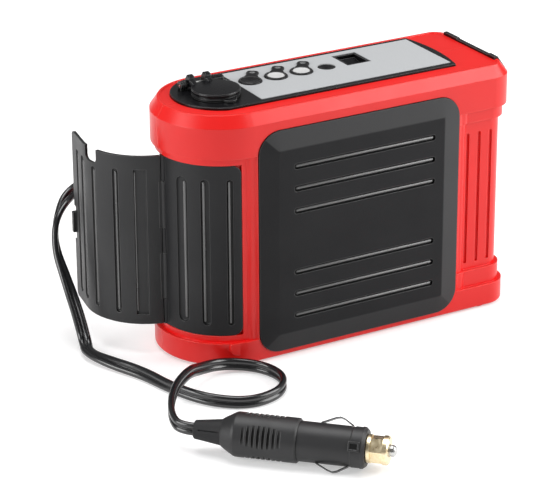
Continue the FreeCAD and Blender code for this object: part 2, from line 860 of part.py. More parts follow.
def storage_door():
    """Modelled shut round the arc's centre, then swung open about the hinge by its placement."""
    body = doc.addObject("PartDesign::Body", "storage_door")
    outer, inner = plate_outer(), plate_outer() - D.plate_thickness + D.plate_gap
    start, flat = D.plate_start, D.door_flat
    plate = pad(body, "plate", "XY_Plane", D.plate_low, D.plate_high - D.plate_low, [[
        (-(outer * cosine(start)), outer * sine(start), -outer),
        (0, outer), (flat, outer), (flat, inner), (0, inner, inner),
        (-(inner * cosine(start)), inner * sine(start)),
    ]])
    limit = flat.number
    rounded(body, "corners", plate, D.door_corner, lambda e, points: (
        all(abs(p.x - limit) < 1e-4 for p in points) and abs(points[0].z - points[2].z) < 1e-4))
    notch_low = D.plate_high - D.notch_depth
    (wide_angle, wide), (angle, narrow), (short_angle, short) = DOOR_SLOTS
    radial_slot(body, "wide_slot", wide_angle, box_corners(
        -wide / 2, D.plate_slot_low, wide / 2, D.plate_slot_high))
    radial_slot(body, "slot", angle, plate_slot(narrow))
    radial_slot(body, "short_slot", short_angle,
                upright_slot(0, D.plate_slot_low, notch_low - 2, short))
    slots = cut(body, "flat_slots", "XZ_Plane", -outer - 1, D.plate_slot_depth + 1,
                [upright_slot(x, D.plate_slot_low, D.plate_slot_high, width)
                 for x, width in FLAT_SLOTS], backwards=True)
    floor = (outer - D.plate_slot_depth).number
    rounded(body, "flat_slot_floors", slots, D.slot_floor_round,
            lambda e, points: all(abs(p.y - floor) < 1e-4 for p in points))
    half = D.notch_width / 2
    round_off = size(3)
    cut(body, "lead_notch", "XZ_Plane", 0, D.plate_thickness + 4, [[
        (-half, D.plate_high + 1), (-half, notch_low + round_off, round_off),
        (-half + round_off, notch_low), (half - round_off, notch_low, round_off),
        (half, notch_low + round_off), (half, D.plate_high + 1),
    ]], turn=(D.notch_angle, outer + 1))
    cut(body, "latch_gap", "XZ_Plane", -outer - 1, D.plate_thickness + 2,
        [box_corners(flat - D.latch_depth, D.latch_low, flat + 1, D.latch_high)], backwards=True)
    # the thumb tab stands proud of the door
    pad(body, "latch_tab", "XZ_Plane", -inner, outer - inner + D.latch_proud,
        [box_corners(flat - D.latch_depth, D.latch_tab_low, flat - 0.2, D.latch_tab_high)],
        backwards=True)
    add_knuckles(body, 1)
    hinge = arc_x() - hinge_radius()
    body.Placement = Placement(Vector(), Rotation(Vector(0, 0, 1), D.door_open.number))
    body.setExpression("Placement.Rotation.Angle", D.door_open.text)
    body.setExpression("Placement.Base.x", (hinge + hinge_radius() * cosine(D.door_open)).text)
    body.setExpression("Placement.Base.y", (hinge_radius() * sine(D.door_open)).text)
    return keep(body, "storage_door")


def door_hinge_pin():
    body = new_body("door_hinge_pin", arc_x() - hinge_radius())
    pad(body, "pin", "XY_Plane", D.plate_low + 0.4, D.plate_high - D.plate_low - 0.8, (),
        [(0, 0, D.pin_radius)])
    return keep(body, "door_hinge_pin")


def bay_step():
    """Where the bay gets shallower, so that it clears the bottom of the outlet."""
    return outlet_low() - D.bay_below_outlet


def bay_step_front():
    """The front wall of the shallow part, behind the outlet."""
    return outlet_place()[1] + outlet_outer() + D.bay_behind_outlet


def bay_outline(front):
    """The bay in plan, from its front wall to the recess that the door closes."""
    reach = half_depth() - 2 * D.step_inset - 2 * D.plate_gap
    left, right = arc_x(), D.bay_right - D.fit_gap
    return [
        (left - root(reach * reach - front * front), front), (right, front), (right, reach),
        (left, reach, reach),
    ]


def storage_bay():
    """The tray behind the door, open towards the left and the rear, shallower under the outlet."""
    body = new_body("storage_bay")
    gap, wall = D.fit_gap, D.bay_wall
    low, step, high = D.bay_low + gap, bay_step() - gap, D.bay_high - gap
    front, step_front = D.bay_front + gap, bay_step_front() + gap
    far, right, rear = arc_x() - half_depth() - 2, D.bay_right - gap - wall, half_depth() + 2
    pad(body, "block", "XY_Plane", low, step - low, [bay_outline(front)])
    pad(body, "top_block", "XY_Plane", step, high - step, [bay_outline(step_front)])
    cut(body, "room", "XY_Plane", step - wall, step - low - 2 * wall,
        [box_corners(far, front + wall, right, rear)])
    cut(body, "top_room", "XY_Plane", high - wall, high - step,
        [box_corners(far, step_front + wall, right, rear)])
    return keep(body, "storage_bay")


# ---------------------------------------------------------------- control deck

def outlet_place():
    return arc_x() - D.outlet_left, -D.outlet_front


def key_centres():
    return [(D.key_first + D.key_pitch * i, D.deck_offset + D.key_offset) for i in range(3)]


def light_button_centre():
    return D.key_first + D.key_pitch * 3, D.deck_offset + D.key_offset


def turned_point(centre, across, along):
    """A point of a key, given across and along its tab, which leans to the right."""
    turn = D.key_turn
    return (centre[0] + across * cosine(turn) - along * sine(turn),
            centre[1] + across * sine(turn) + along * cosine(turn))


def key_outline(centre, grow):
    """A disc with a flared tab, like a keyhole."""
    grow = size(grow)
    radius, neck = D.key_radius + grow, D.key_neck + grow
    rise = root(radius * radius - neck * neck)
    waist, reach = D.key_waist + grow, D.key_waist_reach
    tail, end = D.key_tail + grow, D.key_tail_reach + grow
    bend = D.key_tail_round + grow
    corners = [(neck, rise), (waist, reach), (tail, end - bend, bend), (tail - bend, end),
               (bend - tail, end, bend), (-tail, end - bend), (-waist, reach),
               (-neck, rise, radius), (0, -radius, radius)]
    return [turned_point(centre, size(c[0]), size(c[1])) + tuple(c[2:]) for c in corners]


def key_lamp_place(centre):
    """Where a key's lamp shows, in the end of its tab."""
    return turned_point(centre, size(0), D.key_lamp_reach)


def deck_bezel():
    body = new_body("deck_bezel")
    top, low = deck_top(), D.body_height - D.deck_seat
    plate = pad(body, "plate", "XY_Plane", low, top - low, [deck_outline(0)])
    chamfered(body, "edge", plate, 0.35, at_height(top))
    middle = D.deck_offset
    x, y = outlet_place()
    # hinge lugs of the outlet's cap, each a barrel on a web; the left one is ribbed
    axis_y, axis_z = y + cap_hinge_reach(), top + D.cap_hinge_rise
    (left, right), (plain, end) = cap_lugs()
    third = (right - left) / 3
    barrels = [(left, right, D.cap_knuckle), (plain, end, D.cap_knuckle + D.cap_lug_rib),
               (end, end + 0.6, D.cap_knuckle - 0.3)]
    barrels += [(left + third * i + 0.2, left + third * (i + 1) - 0.2, D.cap_knuckle + D.cap_lug_rib)
                for i in range(3)]
    for number, (start, stop, radius) in enumerate(barrels):
        half = radius * 0.75
        join = axis_z - root(radius * radius - half * half)
        pad(body, "lug%d" % number, "YZ_Plane", x + start, stop - start, [
            [(axis_y - half, top - 0.5), (axis_y + half, top - 0.5), (axis_y + half, join, radius),
             (axis_y, axis_z + radius, radius), (axis_y - half, join)]])
    cut(body, "cap_pin_bore", "YZ_Plane", x + 20, 40, (),
        [(axis_y, axis_z, D.cap_pin_radius + D.pin_clearance / 2)])
    cut(body, "label_seat", "XY_Plane", top, D.label_thick - D.label_proud,
        [box_corners(D.label_left - 0.1, middle - D.label_half - 0.1,
                     D.label_right + 0.1, middle + D.label_half + 0.1)])
    cut(body, "outlet_hole", "XY_Plane", top + 1, 6, (),
        [(x, y, outlet_outer() + 0.1)])
    gap = D.running_gap
    cut(body, "button_holes", "XY_Plane", top + 1, 6, (),
        [(kx, ky, D.disc_radius + gap) for kx, ky in key_centres()]
        + [light_button_centre() + (D.light_button_radius + gap,)])
    cut(body, "switch_hole", "XY_Plane", top + 1, 6,
        [box_corners(D.switch_left, D.switch_front, D.switch_right, D.switch_rear)])
    cut(body, "lamp_holes", "XY_Plane", top + 1, 6, (),
        [key_lamp_place(c) + (1.6,) for c in key_centres()])
    # sleeves under the plate that hang the circuit board
    pad(body, "board_posts", "XY_Plane", board_top(), low - board_top(), (),
        [(bx, by, 2.7) for bx, by in board_posts()])
    cut(body, "board_screw_holes", "XY_Plane", board_top(), 6, (),
        [(bx, by, 1.1) for bx, by in board_posts()], backwards=True)
    return keep(body, "deck_bezel")


def cap_hinge_reach():
    """From the outlet's axis back to the cap's hinge."""
    return cap_radius() + D.cap_knuckle + D.running_gap


def cap_radius():
    return outlet_outer() + D.cap_rim


def cap_lugs():
    """The left and right ends of the two lugs, from the outlet's axis."""
    return [(size(-14.0), size(-10.0)), (size(4.5), size(12.2))]


def cap_arms():
    """The left and right sides of the cap's two arms, from the outlet's axis."""
    return [(size(-9.7), size(-6.0)), (size(0.0), size(4.0))]


def board_posts():
    left, right = D.board_left + 3.4, D.board_right - 3.4
    front, rear = D.deck_offset - D.board_half + 3.4, D.deck_offset + D.board_half - 3.4
    return [(left, front), (left, rear), (right, front), (right, rear)]


def control_label():
    body = new_body("control_label")
    top = label_top()
    middle = D.deck_offset
    sheet_low = top - D.label_thick
    pad(body, "sheet", "XY_Plane", sheet_low, D.label_thick,
        [box_corners(D.label_left, middle - D.label_half, D.label_right, middle + D.label_half)])
    cut(body, "key_holes", "XY_Plane", top + 1, D.label_thick + 2,
        [key_outline(c, 0.15) for c in key_centres()])
    cut(body, "light_button_hole", "XY_Plane", top + 1, D.label_thick + 2, (),
        [light_button_centre() + (D.light_button_radius + 0.6,)])
    cut(body, "switch_hole", "XY_Plane", top + 1, D.label_thick + 2,
        [box_corners(D.switch_left - 0.1, D.switch_front - 0.1,
                     D.switch_right + 0.1, D.switch_rear + 0.1)])
    return keep(body, "control_label")


def key_bezel(number, centre):
    body = new_body("key_bezel_%d" % number)
    low = label_top() - D.label_thick
    plate = pad(body, "plate", "XY_Plane", low, D.label_thick + D.key_proud, [key_outline(centre, 0)])
    top = label_top() + D.key_proud
    edge = at_height(top)
    chamfered(body, "edge", plate, 0.45, edge)
    cut(body, "disc_hole", "XY_Plane", top + 1, 5, (),
        [centre + (D.disc_radius + D.running_gap,)])
    cut(body, "lamp_window", "XY_Plane", top + 1, 5, (),
        [key_lamp_place(centre) + (1.6,)])
    return keep(body, "key_bezel_%d" % number)


def key_lamp(number, centre):
    """The clear light pipe in a key's tab, down to its diode on the board."""
    body = new_body("key_lamp_%d" % number)
    x, y = key_lamp_place(centre)
    top = label_top() + D.key_proud - 0.1
    pad(body, "pipe", "XY_Plane", board_top() + 2.0, top - board_top() - 2.0, (), [(x, y, 1.5)])
    return keep(body, "key_lamp_%d" % number)


def push_button(label, centre, radius, top, dish):
    """A round button with a stem down to its switch on the board, and a shallow dish on top."""
    body = new_body(label, centre[0], centre[1])
    flange = D.body_height - D.deck_seat - D.running_gap
    stem = board_top() + D.tact_case + D.tact_plunger + D.button_travel + 0.1
    turned(body, "button", [
        (0, stem), (1.6, stem), (1.6, flange - 1.2), (radius + 1.2, flange - 1.2),
        (radius + 1.2, flange), (radius, flange), (radius, top - 0.4), (radius - 0.4, top),
        (radius - 1.0, top), (0, top - dish)])
    return keep(body, label)


def group(label, members):
    item = doc.addObject("Part::Compound", label)
    item.Links = members
    return item


def tact_switches():
    members = []
    for number, (x, y) in enumerate(key_centres() + [light_button_centre()]):
        body = new_body("tact_switch%d" % number)
        half = size(3.2)
        pad(body, "case", "XY_Plane", board_top(), D.tact_case,
            [box_corners(x - half, y - half, x + half, y + half)])
        pad(body, "plunger", "XY_Plane", board_top() + D.tact_case, D.tact_plunger, (), [(x, y, 1.5)])
        members.append(body)
    return keep(group("tact_switches", members), "tact_switches")


def switch_frame():
    """The square well of the power switch, with pivots for its rocker."""
    body = new_body("switch_frame")
    gap, wall = 0.15, D.switch_wall
    left, right = D.switch_left + gap, D.switch_right - gap
    front, rear = D.switch_front + gap, D.switch_rear - gap
    top = label_top() - D.switch_drop / 8
    low = top - D.switch_deep
    pad(body, "block", "XY_Plane", low, D.switch_deep, [box_corners(left, front, right, rear)])
    cut(body, "well", "XY_Plane", top, D.switch_deep - wall,
        [box_corners(left + wall, front + wall, right - wall, rear - wall)])
    cut(body, "pivots", "YZ_Plane", right + 1, D.switch_right - D.switch_left + 2, (),
        [((front + rear) / 2, rocker_height(), 1.1 + D.pin_clearance)])
    return keep(body, "switch_frame")


def rocker_height():
    return label_top() - 5.4


def power_rocker():
    """Modelled level round its pivot, then tilted to its off side by its placement."""
    body = doc.addObject("PartDesign::Body", "power_rocker")
    wide = (D.switch_right - D.switch_left) / 2 - 0.15 - D.switch_wall - D.running_gap
    deep = (D.switch_rear - D.switch_front) / 2 - 0.15 - D.switch_wall - D.running_gap - 0.5
    pad(body, "rocker", "YZ_Plane", -wide, 2 * wide, [[
        (-deep, 0), (-2.4, -2.2), (2.4, -2.2), (deep, 0), (deep, 2.6), (0, 1.7), (-deep, 2.6)]])
    reach = wide + D.running_gap + 0.9
    pad(body, "pivot", "YZ_Plane", -reach, 2 * reach, (), [(0, 0, 1.1)])
    body.Placement = Placement(Vector(), Rotation(Vector(1, 0, 0), D.rocker_tilt.number))
    body.setExpression("Placement.Rotation.Angle", D.rocker_tilt.text)
    body.setExpression("Placement.Base.x", ((D.switch_left + D.switch_right) / 2).text)
    body.setExpression("Placement.Base.y", ((D.switch_front + D.switch_rear) / 2).text)
    body.setExpression("Placement.Base.z", rocker_height().text)
    return keep(body, "power_rocker")


# ---------------------------------------------------------------- 12 V outlet

def sleeve_outer():
    return D.outlet_bore + D.sleeve_wall


def outlet_outer():
    return sleeve_outer() + D.outlet_wall


def outlet_low():
    """The underside of the socket."""
    return deck_top() + D.outlet_collar - D.outlet_depth - D.outlet_floor


def outlet_socket():
    x, y = outlet_place()
    body = new_body("outlet_socket", x, y)
    top, low = deck_top() + D.outlet_collar, outlet_low()
    outer, bore = outlet_outer(), sleeve_outer() + 0.02
    turned(body, "cup", [
        (0, low), (outer - 1, low), (outer, low + 1), (outer, top - 0.5), (outer - 0.5, top),
        (bore, top), (bore, low + D.outlet_floor), (0, low + D.outlet_floor)])
    return keep(body, "outlet_socket")


def outlet_sleeve():
    x, y = outlet_place()
    body = new_body("outlet_sleeve", x, y)
    top = deck_top() + D.outlet_collar
    low = top - D.outlet_depth + D.contact_room
    turned(body, "sleeve", [
        (D.outlet_bore, low), (sleeve_outer(), low), (sleeve_outer(), top), (D.outlet_bore, top)])
    return keep(body, "outlet_sleeve")


def outlet_contact():
    x, y = outlet_place()
    body = new_body("outlet_contact", x, y)
    low = deck_top() + D.outlet_collar - D.outlet_depth
    turned(body, "contact", [
        (0, low), (4.6, low), (4.6, low + 0.8), (2.4, low + 1.6), (2.4, low + 3.2), (1.4, low + 4.2),
        (0, low + 4.2)])
    return keep(body, "outlet_contact")


def arm_outline(axis_y, axis_z, top, inset):
    """A hinge arm of the cap seen from its side: it bends over the pin with a round head."""
    knuckle, head = D.cap_knuckle, D.cap_arm_head - inset
    dome_y, dome_z = axis_y - knuckle + 0.8, axis_z + D.cap_arm_rise
    lean = size(10)
    return [
        (axis_y - 7.5, top - 2.5), (axis_y - 3.2, top - 2.5),
        (axis_y - knuckle * cosine(54), axis_z - knuckle * sine(54), knuckle),
        (axis_y + knuckle * cosine(lean), axis_z + knuckle * sine(lean)),
        (dome_y + head * cosine(lean), dome_z + head * sine(lean), head),
        (dome_y - head, dome_z), (axis_y - 7.5 + inset, top - 0.2 - inset),
    ]


def outlet_cap():
    x, y = outlet_place()
    body = new_body("outlet_cap", x, y)
    low, top = deck_top() + 0.25, deck_top() + D.cap_height
    wide, groove = cap_radius(), cap_radius() - D.cap_groove
    collar = outlet_outer() + D.running_gap + 0.1
    under = deck_top() + D.outlet_collar + D.running_gap
    flat, dome = wide - 1.2, D.cap_dome
    turned(body, "cap", [
        (collar, low), (wide, low), (wide, low + 1.1), (groove, low + 1.5),
        (groove, top - 1.4), (wide, top - 1.0), (wide - 0.3, top - 0.2),
        (flat, top, (flat * flat + dome * dome) / (2 * dome)),
        (0, top + dome), (0, under), (collar, under)])
    axis_y, axis_z = cap_hinge_reach(), deck_top() + D.cap_hinge_rise
    for number, (left, right) in enumerate(cap_arms()):
        bevel = D.cap_arm_bevel
        loft(body, "arm%d" % number, "YZ_Plane", [
            (left, arm_outline(axis_y, axis_z, top, bevel)),
            (left + bevel, arm_outline(axis_y, axis_z, top, 0)),
            (right - bevel, arm_outline(axis_y, axis_z, top, 0)),
            (right, arm_outline(axis_y, axis_z, top, bevel))])
    cut(body, "pin_bore", "YZ_Plane", 20, 40, (), [(axis_y, axis_z, D.cap_pin_radius + D.pin_clearance)])
    # finger lip at the front
    seat = wide - D.cap_groove
    start, end = size(-2.6), size(6.8)
    pad(body, "finger_lip", "XY_Plane", low, 1.1, [[
        (start, -root(seat * seat - start * start)), (-1.2, -(wide + 1.8), 3.6),
        (4.8, -(wide + 1.4)), (end, -root(seat * seat - end * end), -seat)]])
    return keep(body, "outlet_cap")


def cap_hinge_pin():
    x, y = outlet_place()
    body = new_body("cap_hinge_pin")
    lugs = cap_lugs()
    left, right = lugs[0][0] + 0.2, lugs[1][1] - 0.4
    axis_y, axis_z = y + cap_hinge_reach(), deck_top() + D.cap_hinge_rise
    pad(body, "pin", "YZ_Plane", x + left, right - left, (), [(axis_y, axis_z, D.cap_pin_radius)])
    return keep(body, "cap_hinge_pin")


# ---------------------------------------------------------------- work light

def light_floor():
    """The bottom of the work light's box, where its lamps stand."""
    return right_x() - D.light_depth + D.light_back


def light_bezel():
    body = new_body("light_bezel")
    right = right_x() + D.light_proud
    left = right_x() - D.light_depth + D.fit_gap
    low, top = D.light_low, D.body_height + D.light_rise
    drop, inset = D.chamfer_drop + D.light_rise - D.light_proud, D.chamfer_right
    half = D.light_half
    for name, start, stop, rise in (("block", -half, half, 0), ("front_pad", half - 7, half, 1),
                                    ("rear_pad", -half, 13 - half, 1)):
        crown = top + D.light_pad_rise * rise
        pad(body, name, "XZ_Plane", start, stop - start, [[
            (left, low), (right, low), (right, top - drop), (right - inset, crown), (left, crown)]])
    cut(body, "window", "YZ_Plane", right + 1, right + 1 - light_floor(),
        [box_corners(-D.light_window_half, D.light_window_low,
                     D.light_window_half, D.light_window_high)])
    return keep(body, "light_bezel")


def light_reflector():
    body = new_body("light_reflector")
    left = light_floor() + D.lamp_base
    gap = D.fit_gap / 2
    half, low, high = D.light_window_half - gap, D.light_window_low + gap, D.light_window_high - gap
    deep = right_x() - D.lens_sink - D.lens_thick - left
    pad(body, "block", "YZ_Plane", left, deep, [box_corners(-half, low, half, high)])
    middle = (D.light_window_low + D.light_window_high) / 2
    for number, y in enumerate(lamp_places()):
        cut(body, "bowl%d" % number, "YZ_Plane", left + deep, deep - 0.6, (), [(y, middle, 4.4)])
        cut(body, "lamp_hole%d" % number, "YZ_Plane", left + deep, deep + 1, (), [(y, middle, 2.6)])
    return keep(body, "light_reflector")


def lamp_places():
    return [D.light_half * part for part in (-0.54, 0.0, 0.54)]


def light_lamps():
    members = []
    middle = (D.light_window_low + D.light_window_high) / 2
    left = light_floor()
    for number, y in enumerate(lamp_places()):
        body = new_body("lamp%d" % number)
        pad(body, "base", "YZ_Plane", left, D.lamp_base, (), [(y, middle, 2.9)])
        dome = pad(body, "dome", "YZ_Plane", left + D.lamp_base, 2.8, (), [(y, middle, 2.5)])
        tip = (left + D.lamp_base + 2.8).number
        rounded(body, "tip", dome, 1.8, lambda e, points: all(abs(p.x - tip) < 1e-4 for p in points))
        members.append(body)
    return keep(group("light_lamps", members), "light_lamps")


def light_lens():
    body = new_body("light_lens")
    gap = D.fit_gap / 2
    pad(body, "pane", "YZ_Plane", right_x() - D.lens_sink - D.lens_thick, D.lens_thick,
        [box_corners(-(D.light_window_half - gap), D.light_window_low + gap,
                     D.light_window_half - gap, D.light_window_high - gap)])
    return keep(body, "light_lens")


# ---------------------------------------------------------------- battery and electronics

def battery():
    body = new_body("battery")
    floor = D.foot_height + D.wall
    left, long = D.battery_left, D.battery_long
    half = D.battery_deep / 2
    case = pad(body, "case", "XY_Plane", floor, D.battery_tall - 4,
               [box_corners(left, -half, left + long, half)])
    upright = lambda e, points: abs(points[0].x - points[2].x) + abs(points[0].y - points[2].y) < 1e-4
    rounded(body, "corners", case, 2.5, upright)
    pad(body, "lid", "XY_Plane", floor + D.battery_tall - 4, 4,
        [box_corners(left + 1.2, -half + 1.2, left + long - 1.2, half - 1.2)])
    return keep(body, "battery")


def battery_terminals():
    members = []
    top = D.foot_height + D.wall + D.battery_tall
    for number, x in enumerate((D.battery_left + 12, D.battery_left + D.battery_long - 12)):
        body = new_body("terminal%d" % number)
        pad(body, "foot", "XY_Plane", top, 1.0, [box_corners(x - 4, -28, x + 4, -20)])
        pad(body, "blade", "XY_Plane", top, 6.5, [box_corners(x - 3.2, -24.4, x + 3.2, -23.6)])
        members.append(body)
    return keep(group("battery_terminals", members), "battery_terminals")


def circuit_board():
    body = new_body("circuit_board")
    top, low = board_top(), board_top() - D.board_thick
    middle = D.deck_offset
    pad(body, "board", "XY_Plane", low, D.board_thick,
        [box_corners(D.board_left, middle - D.board_half, D.board_right, middle + D.board_half)])
    cut(body, "screw_holes", "XY_Plane", top, D.board_thick, (),
        [(x, y, 1.3) for x, y in board_posts()])
    return keep(body, "circuit_board")


def board_box(name, x, y, long, deep, tall):
    """A component that hangs under the board."""
    body = new_body(name)
    low = board_top() - D.board_thick - tall
    x, y = size(x), size(y)
    pad(body, "case", "XY_Plane", low, tall,
        [box_corners(x - long / 2, y - deep / 2, x + long / 2, y + deep / 2)])
    return body


def board_can(name, x, y, radius, tall):
    body = new_body(name)
    pad(body, "can", "XY_Plane", board_top() - D.board_thick - tall, tall, (), [(x, y, radius)])
    return body


def relay():
    return keep(board_box("relay", D.board_left + 14, -4, 15, 19, 12), "relay")


def board_parts():
    members = [
        board_can("capacitor_a", D.board_right - 14, 14, 5, 11),
        board_can("capacitor_b", D.board_right - 26, 14, 5, 11),
        board_can("coil", D.board_right - 20, -6, 8, 9),
        board_box("charge_chip", 4, 6, 12, 12, 2.4),
    ]
    return keep(group("board_parts", members), "board_parts")


def board_fuse():
    """Blade fuse in its clip under the board."""
    return keep(board_box("board_fuse", D.board_left + 32, -8, 19, 5, 12), "board_fuse")


def lamp_diodes():
    members = []
    for number, centre in enumerate(key_centres()):
        x, y = key_lamp_place(centre)
        body = new_body("diode%d" % number)
        pad(body, "diode", "XY_Plane", board_top(), 1.6, (), [(x, y, 1.5)])
        members.append(body)
    return keep(group("lamp_diodes", members), "lamp_diodes")


# ---------------------------------------------------------------- screws

def screw(name, x, y, z, head, shank, reach, thick, plane, forwards):
    """A pan head on a shank, head towards the plane's normal when forwards is false."""
    body = new_body(name, x, y, z)
    pad(body, "shank", plane, 0, reach, (), [(0, 0, shank)], backwards=not forwards)
    pad(body, "head", plane, 0, thick, (), [(0, 0, head)], backwards=forwards)
    return body


def case_screws():
    members = [
        screw("case_screw%d" % n, x, D.screw_seat, z, D.screw_head, D.screw_radius - 0.05,
              D.screw_seat + D.screw_reach, 2.2, "XZ_Plane", True)
        for n, (x, z) in enumerate(post_places())]
    return keep(group("case_screws", members), "case_screws")


def board_screws():
    members = [
        screw("board_screw%d" % n, x, y, board_top() - D.board_thick, 2.2, 1.05,
              D.board_thick + 4, 1.4, "XY_Plane", True)
        for n, (x, y) in enumerate(board_posts())]
    return keep(group("board_screws", members), "board_screws")


# ---------------------------------------------------------------- lead and plug

def lead_gland():
    """The rubber boot where the lead leaves the rear shell; its own axis points to the rear."""
    body = new_body("lead_gland", D.gland_x, half_depth(), D.gland_z)
    neck, wide, thin = D.gland_neck - 0.05, D.gland_radius, D.lead_width / 2 + 1.0
    turned(body, "boot", [
        (0, -D.wall - 1.6), (neck + 2, -D.wall - 1.6), (neck + 2, -D.wall), (neck, -D.wall),
        (neck, 0), (wide, 0), (wide, 3.0), (thin, D.gland_long), (0, D.gland_long)])
    body.Placement = Placement(Vector(), Rotation(Vector(1, 0, 0), -90))
    return keep(body, "lead_gland")


def lead_path():
    """Straight runs joined by tangent arcs, each as large as its two runs allow."""
    points = [Vector(*p) for p in LEAD_ROUTE]
    edges, start = [], points[0]
    for before, corner, after in zip(points, points[1:], points[2:]):
        into, out = (before - corner), (after - corner)
        shorter = min(into.Length, out.Length)
        turn = math.pi - into.getAngle(out)
        setback = 0.45 * shorter
        radius = setback / math.tan(turn / 2)
        first, last = corner + into.normalize() * setback, corner + out.normalize() * setback
        middle_line = (into + out).normalize()
        middle = corner + middle_line * (radius / math.cos(turn / 2) - radius)
        edges.append(Part.LineSegment(start, first).toShape())
        edges.append(Part.Arc(first, middle, last).toShape())
        print("lead radius %.1f mm at (%.0f, %.0f, %.0f), turn %.0f degrees"
              % (radius, corner.x, corner.y, corner.z, math.degrees(turn)))
        start = last
    edges.append(Part.LineSegment(start, points[-1]).toShape())
    return Part.Wire(edges)


def power_lead():
    item = doc.addObject("Part::Feature", "power_lead")
    path = lead_path()
    radius = D.lead_width.number / 2
    heading = path.Edges[0].tangentAt(path.Edges[0].FirstParameter)
    circle = Part.Wire([Part.makeCircle(radius, path.Vertexes[0].Point, heading)])
    item.Shape = path.makePipeShell([circle], True, True)
    expected = math.pi * radius ** 2 * path.Length
    print("lead length %.1f mm, volume %.4f of section times length"
          % (path.Length, item.Shape.Volume / expected))
    return keep(item, "power_lead")


def plug_body(label, turn=None):
    """A body whose own Z axis lies along the plug, from the lead's end towards the tip."""
    turn = D.contact_turn if turn is None else turn
    body = doc.addObject("PartDesign::Body", label)
    heading = math.radians(PLUG_HEADING)
    axis = Vector(math.cos(heading), math.sin(heading), 0)
    lean = Rotation(axis, turn.number)
    body.Placement = Placement(Vector(*LEAD_ROUTE[-1]), lean.multiply(Rotation(
        Vector(-axis.y, axis.x, 0), Vector(0, 0, 1), axis, "ZXY")))
    return body


def plug_stations():
    """Distances along the plug: relief, flare, grip, barrel, ring, collar and tip ends."""
    ends = [D.relief_long]
    for part in (D.plug_flare, D.grip_long, D.barrel_long, D.ring_long, D.collar_long, D.tip_long):
        ends.append(ends[-1] + part)
    return ends


def plug_strain_relief():
    """The rubber boot behind the grip, with four grooves along it."""
    body = plug_body("plug_strain_relief", D.grip_field_turn)
    relief = D.relief_long
    thin = D.lead_width / 2 + 1.4
    turned(body, "relief", [
        (0, 0), (thin - 0.5, 0), (thin, 0.6), (thin + 0.2, 2.5), (thin + 1.9, relief), (5.0, relief),
        (5.0, relief + 3), (0, relief + 3)])
    wide, deep = 0.6, thin + 3
    for name, plane in (("side_grooves", "XZ_Plane"), ("top_grooves", "YZ_Plane")):
        groove = [(thin - 0.5, 3.0), (deep, 3.0), (deep, relief - 1), (thin + 0.6, relief - 1)]
        mirror = [(-size(x), z) for x, z in groove]
        cut(body, name, plane, wide / 2, wide, [groove, mirror])
    return keep(body, "plug_strain_relief")


def grip_fields(body, start):
    """Four oval fields of cross grooves, a quarter of a turn apart."""
    wide = D.barrel_radius + D.grip_wall
    grooves = []
    for number, deep in enumerate(GRIP_GROOVES):
        low = start + D.grip_groove_pitch * number
        grooves.append((wide - deep, low, low + D.grip_groove_width))
    out = wide + 1
    for name, plane in (("field_x", "XZ_Plane"), ("field_y", "YZ_Plane")):
        loops = [box_corners(floor, low, out, high) for floor, low, high in grooves]
        loops += [box_corners(-out, low, -floor, high) for floor, low, high in grooves]
        cut(body, name, plane, out, 2 * out, loops)


def grip_neck():
    """The radius of the barrel's rear part, inside the grip."""
    return D.barrel_radius - D.grip_shoulder


def plug_grip():
    body = plug_body("plug_grip", D.grip_field_turn)
    relief, flare, grip = plug_stations()[:3]
    wide = D.barrel_radius + D.grip_wall
    neck, mouth = grip_neck() + 0.02, D.barrel_radius + 0.02
    turned(body, "grip", [
        (5.05, relief), (7.4, relief), (8.2, relief + 1.2), (wide - 0.4, flare), (wide, flare + 1.2),
        (wide, grip - 0.8), (wide - 0.8, grip), (mouth, grip), (mouth, grip - 4.02),
        (neck, grip - 4.02), (neck, flare + 4), (5.05, flare + 4)])
    grip_fields(body, flare + 5.6)
    return keep(body, "plug_grip")


def plug_barrel():
    body = plug_body("plug_barrel", D.grip_field_turn)
    flare, grip, barrel, ring = plug_stations()[1:5]
    wide, neck = D.barrel_radius, grip_neck()
    turned(body, "barrel", [
        (0, flare + 4.05), (neck, flare + 4.05), (neck, grip - 4), (wide, grip - 4), (wide, barrel),
        (wide + 0.35, barrel + 0.4), (wide + 0.35, ring - 1.6), (wide - 1.0, ring), (4.4, ring),
        (4.4, flare + D.barrel_floor), (0, flare + D.barrel_floor)])
    # two shallow windows in the ring
    half, floor, out = size(2.9), wide - 0.5, wide + 1
    cut(body, "ring_windows", "XZ_Plane", half, 2 * half, [
        box_corners(floor, barrel - 0.8, out, barrel + 4.6),
        box_corners(-out, barrel - 0.8, -floor, barrel + 4.6)])
    return keep(body, "plug_barrel")


def plug_collar():
    """The brass nut that holds the tip; the fuse comes out when it is unscrewed."""
    body = plug_body("plug_collar")
    ring, collar = plug_stations()[4:6]
    wide, bore = D.collar_radius, D.tip_radius + D.pin_clearance
    waist_low, waist_high = ring + 2.2, collar - 3.0
    turned(body, "nut", [
        (4.3, ring - 4), (4.35, ring - 4), (4.35, ring + 0.05), (wide - 0.5, ring + 0.05),
        (wide - 0.2, ring + 0.4), (wide - 0.2, waist_low), (wide, waist_low), (wide, collar - 0.8),
        (wide - 0.8, collar), (bore, collar), (bore, collar - 4), (3.9, collar - 4), (3.9, ring - 4)])
    # six flats between the two flanges
    corners = [(D.nut_corner * cosine(60 * i), D.nut_corner * sine(60 * i)) for i in range(6)]
    cut(body, "flats", "XY_Plane", waist_high, waist_high - waist_low, [corners],
        [(0, 0, wide + 1)])
    return keep(body, "plug_collar")


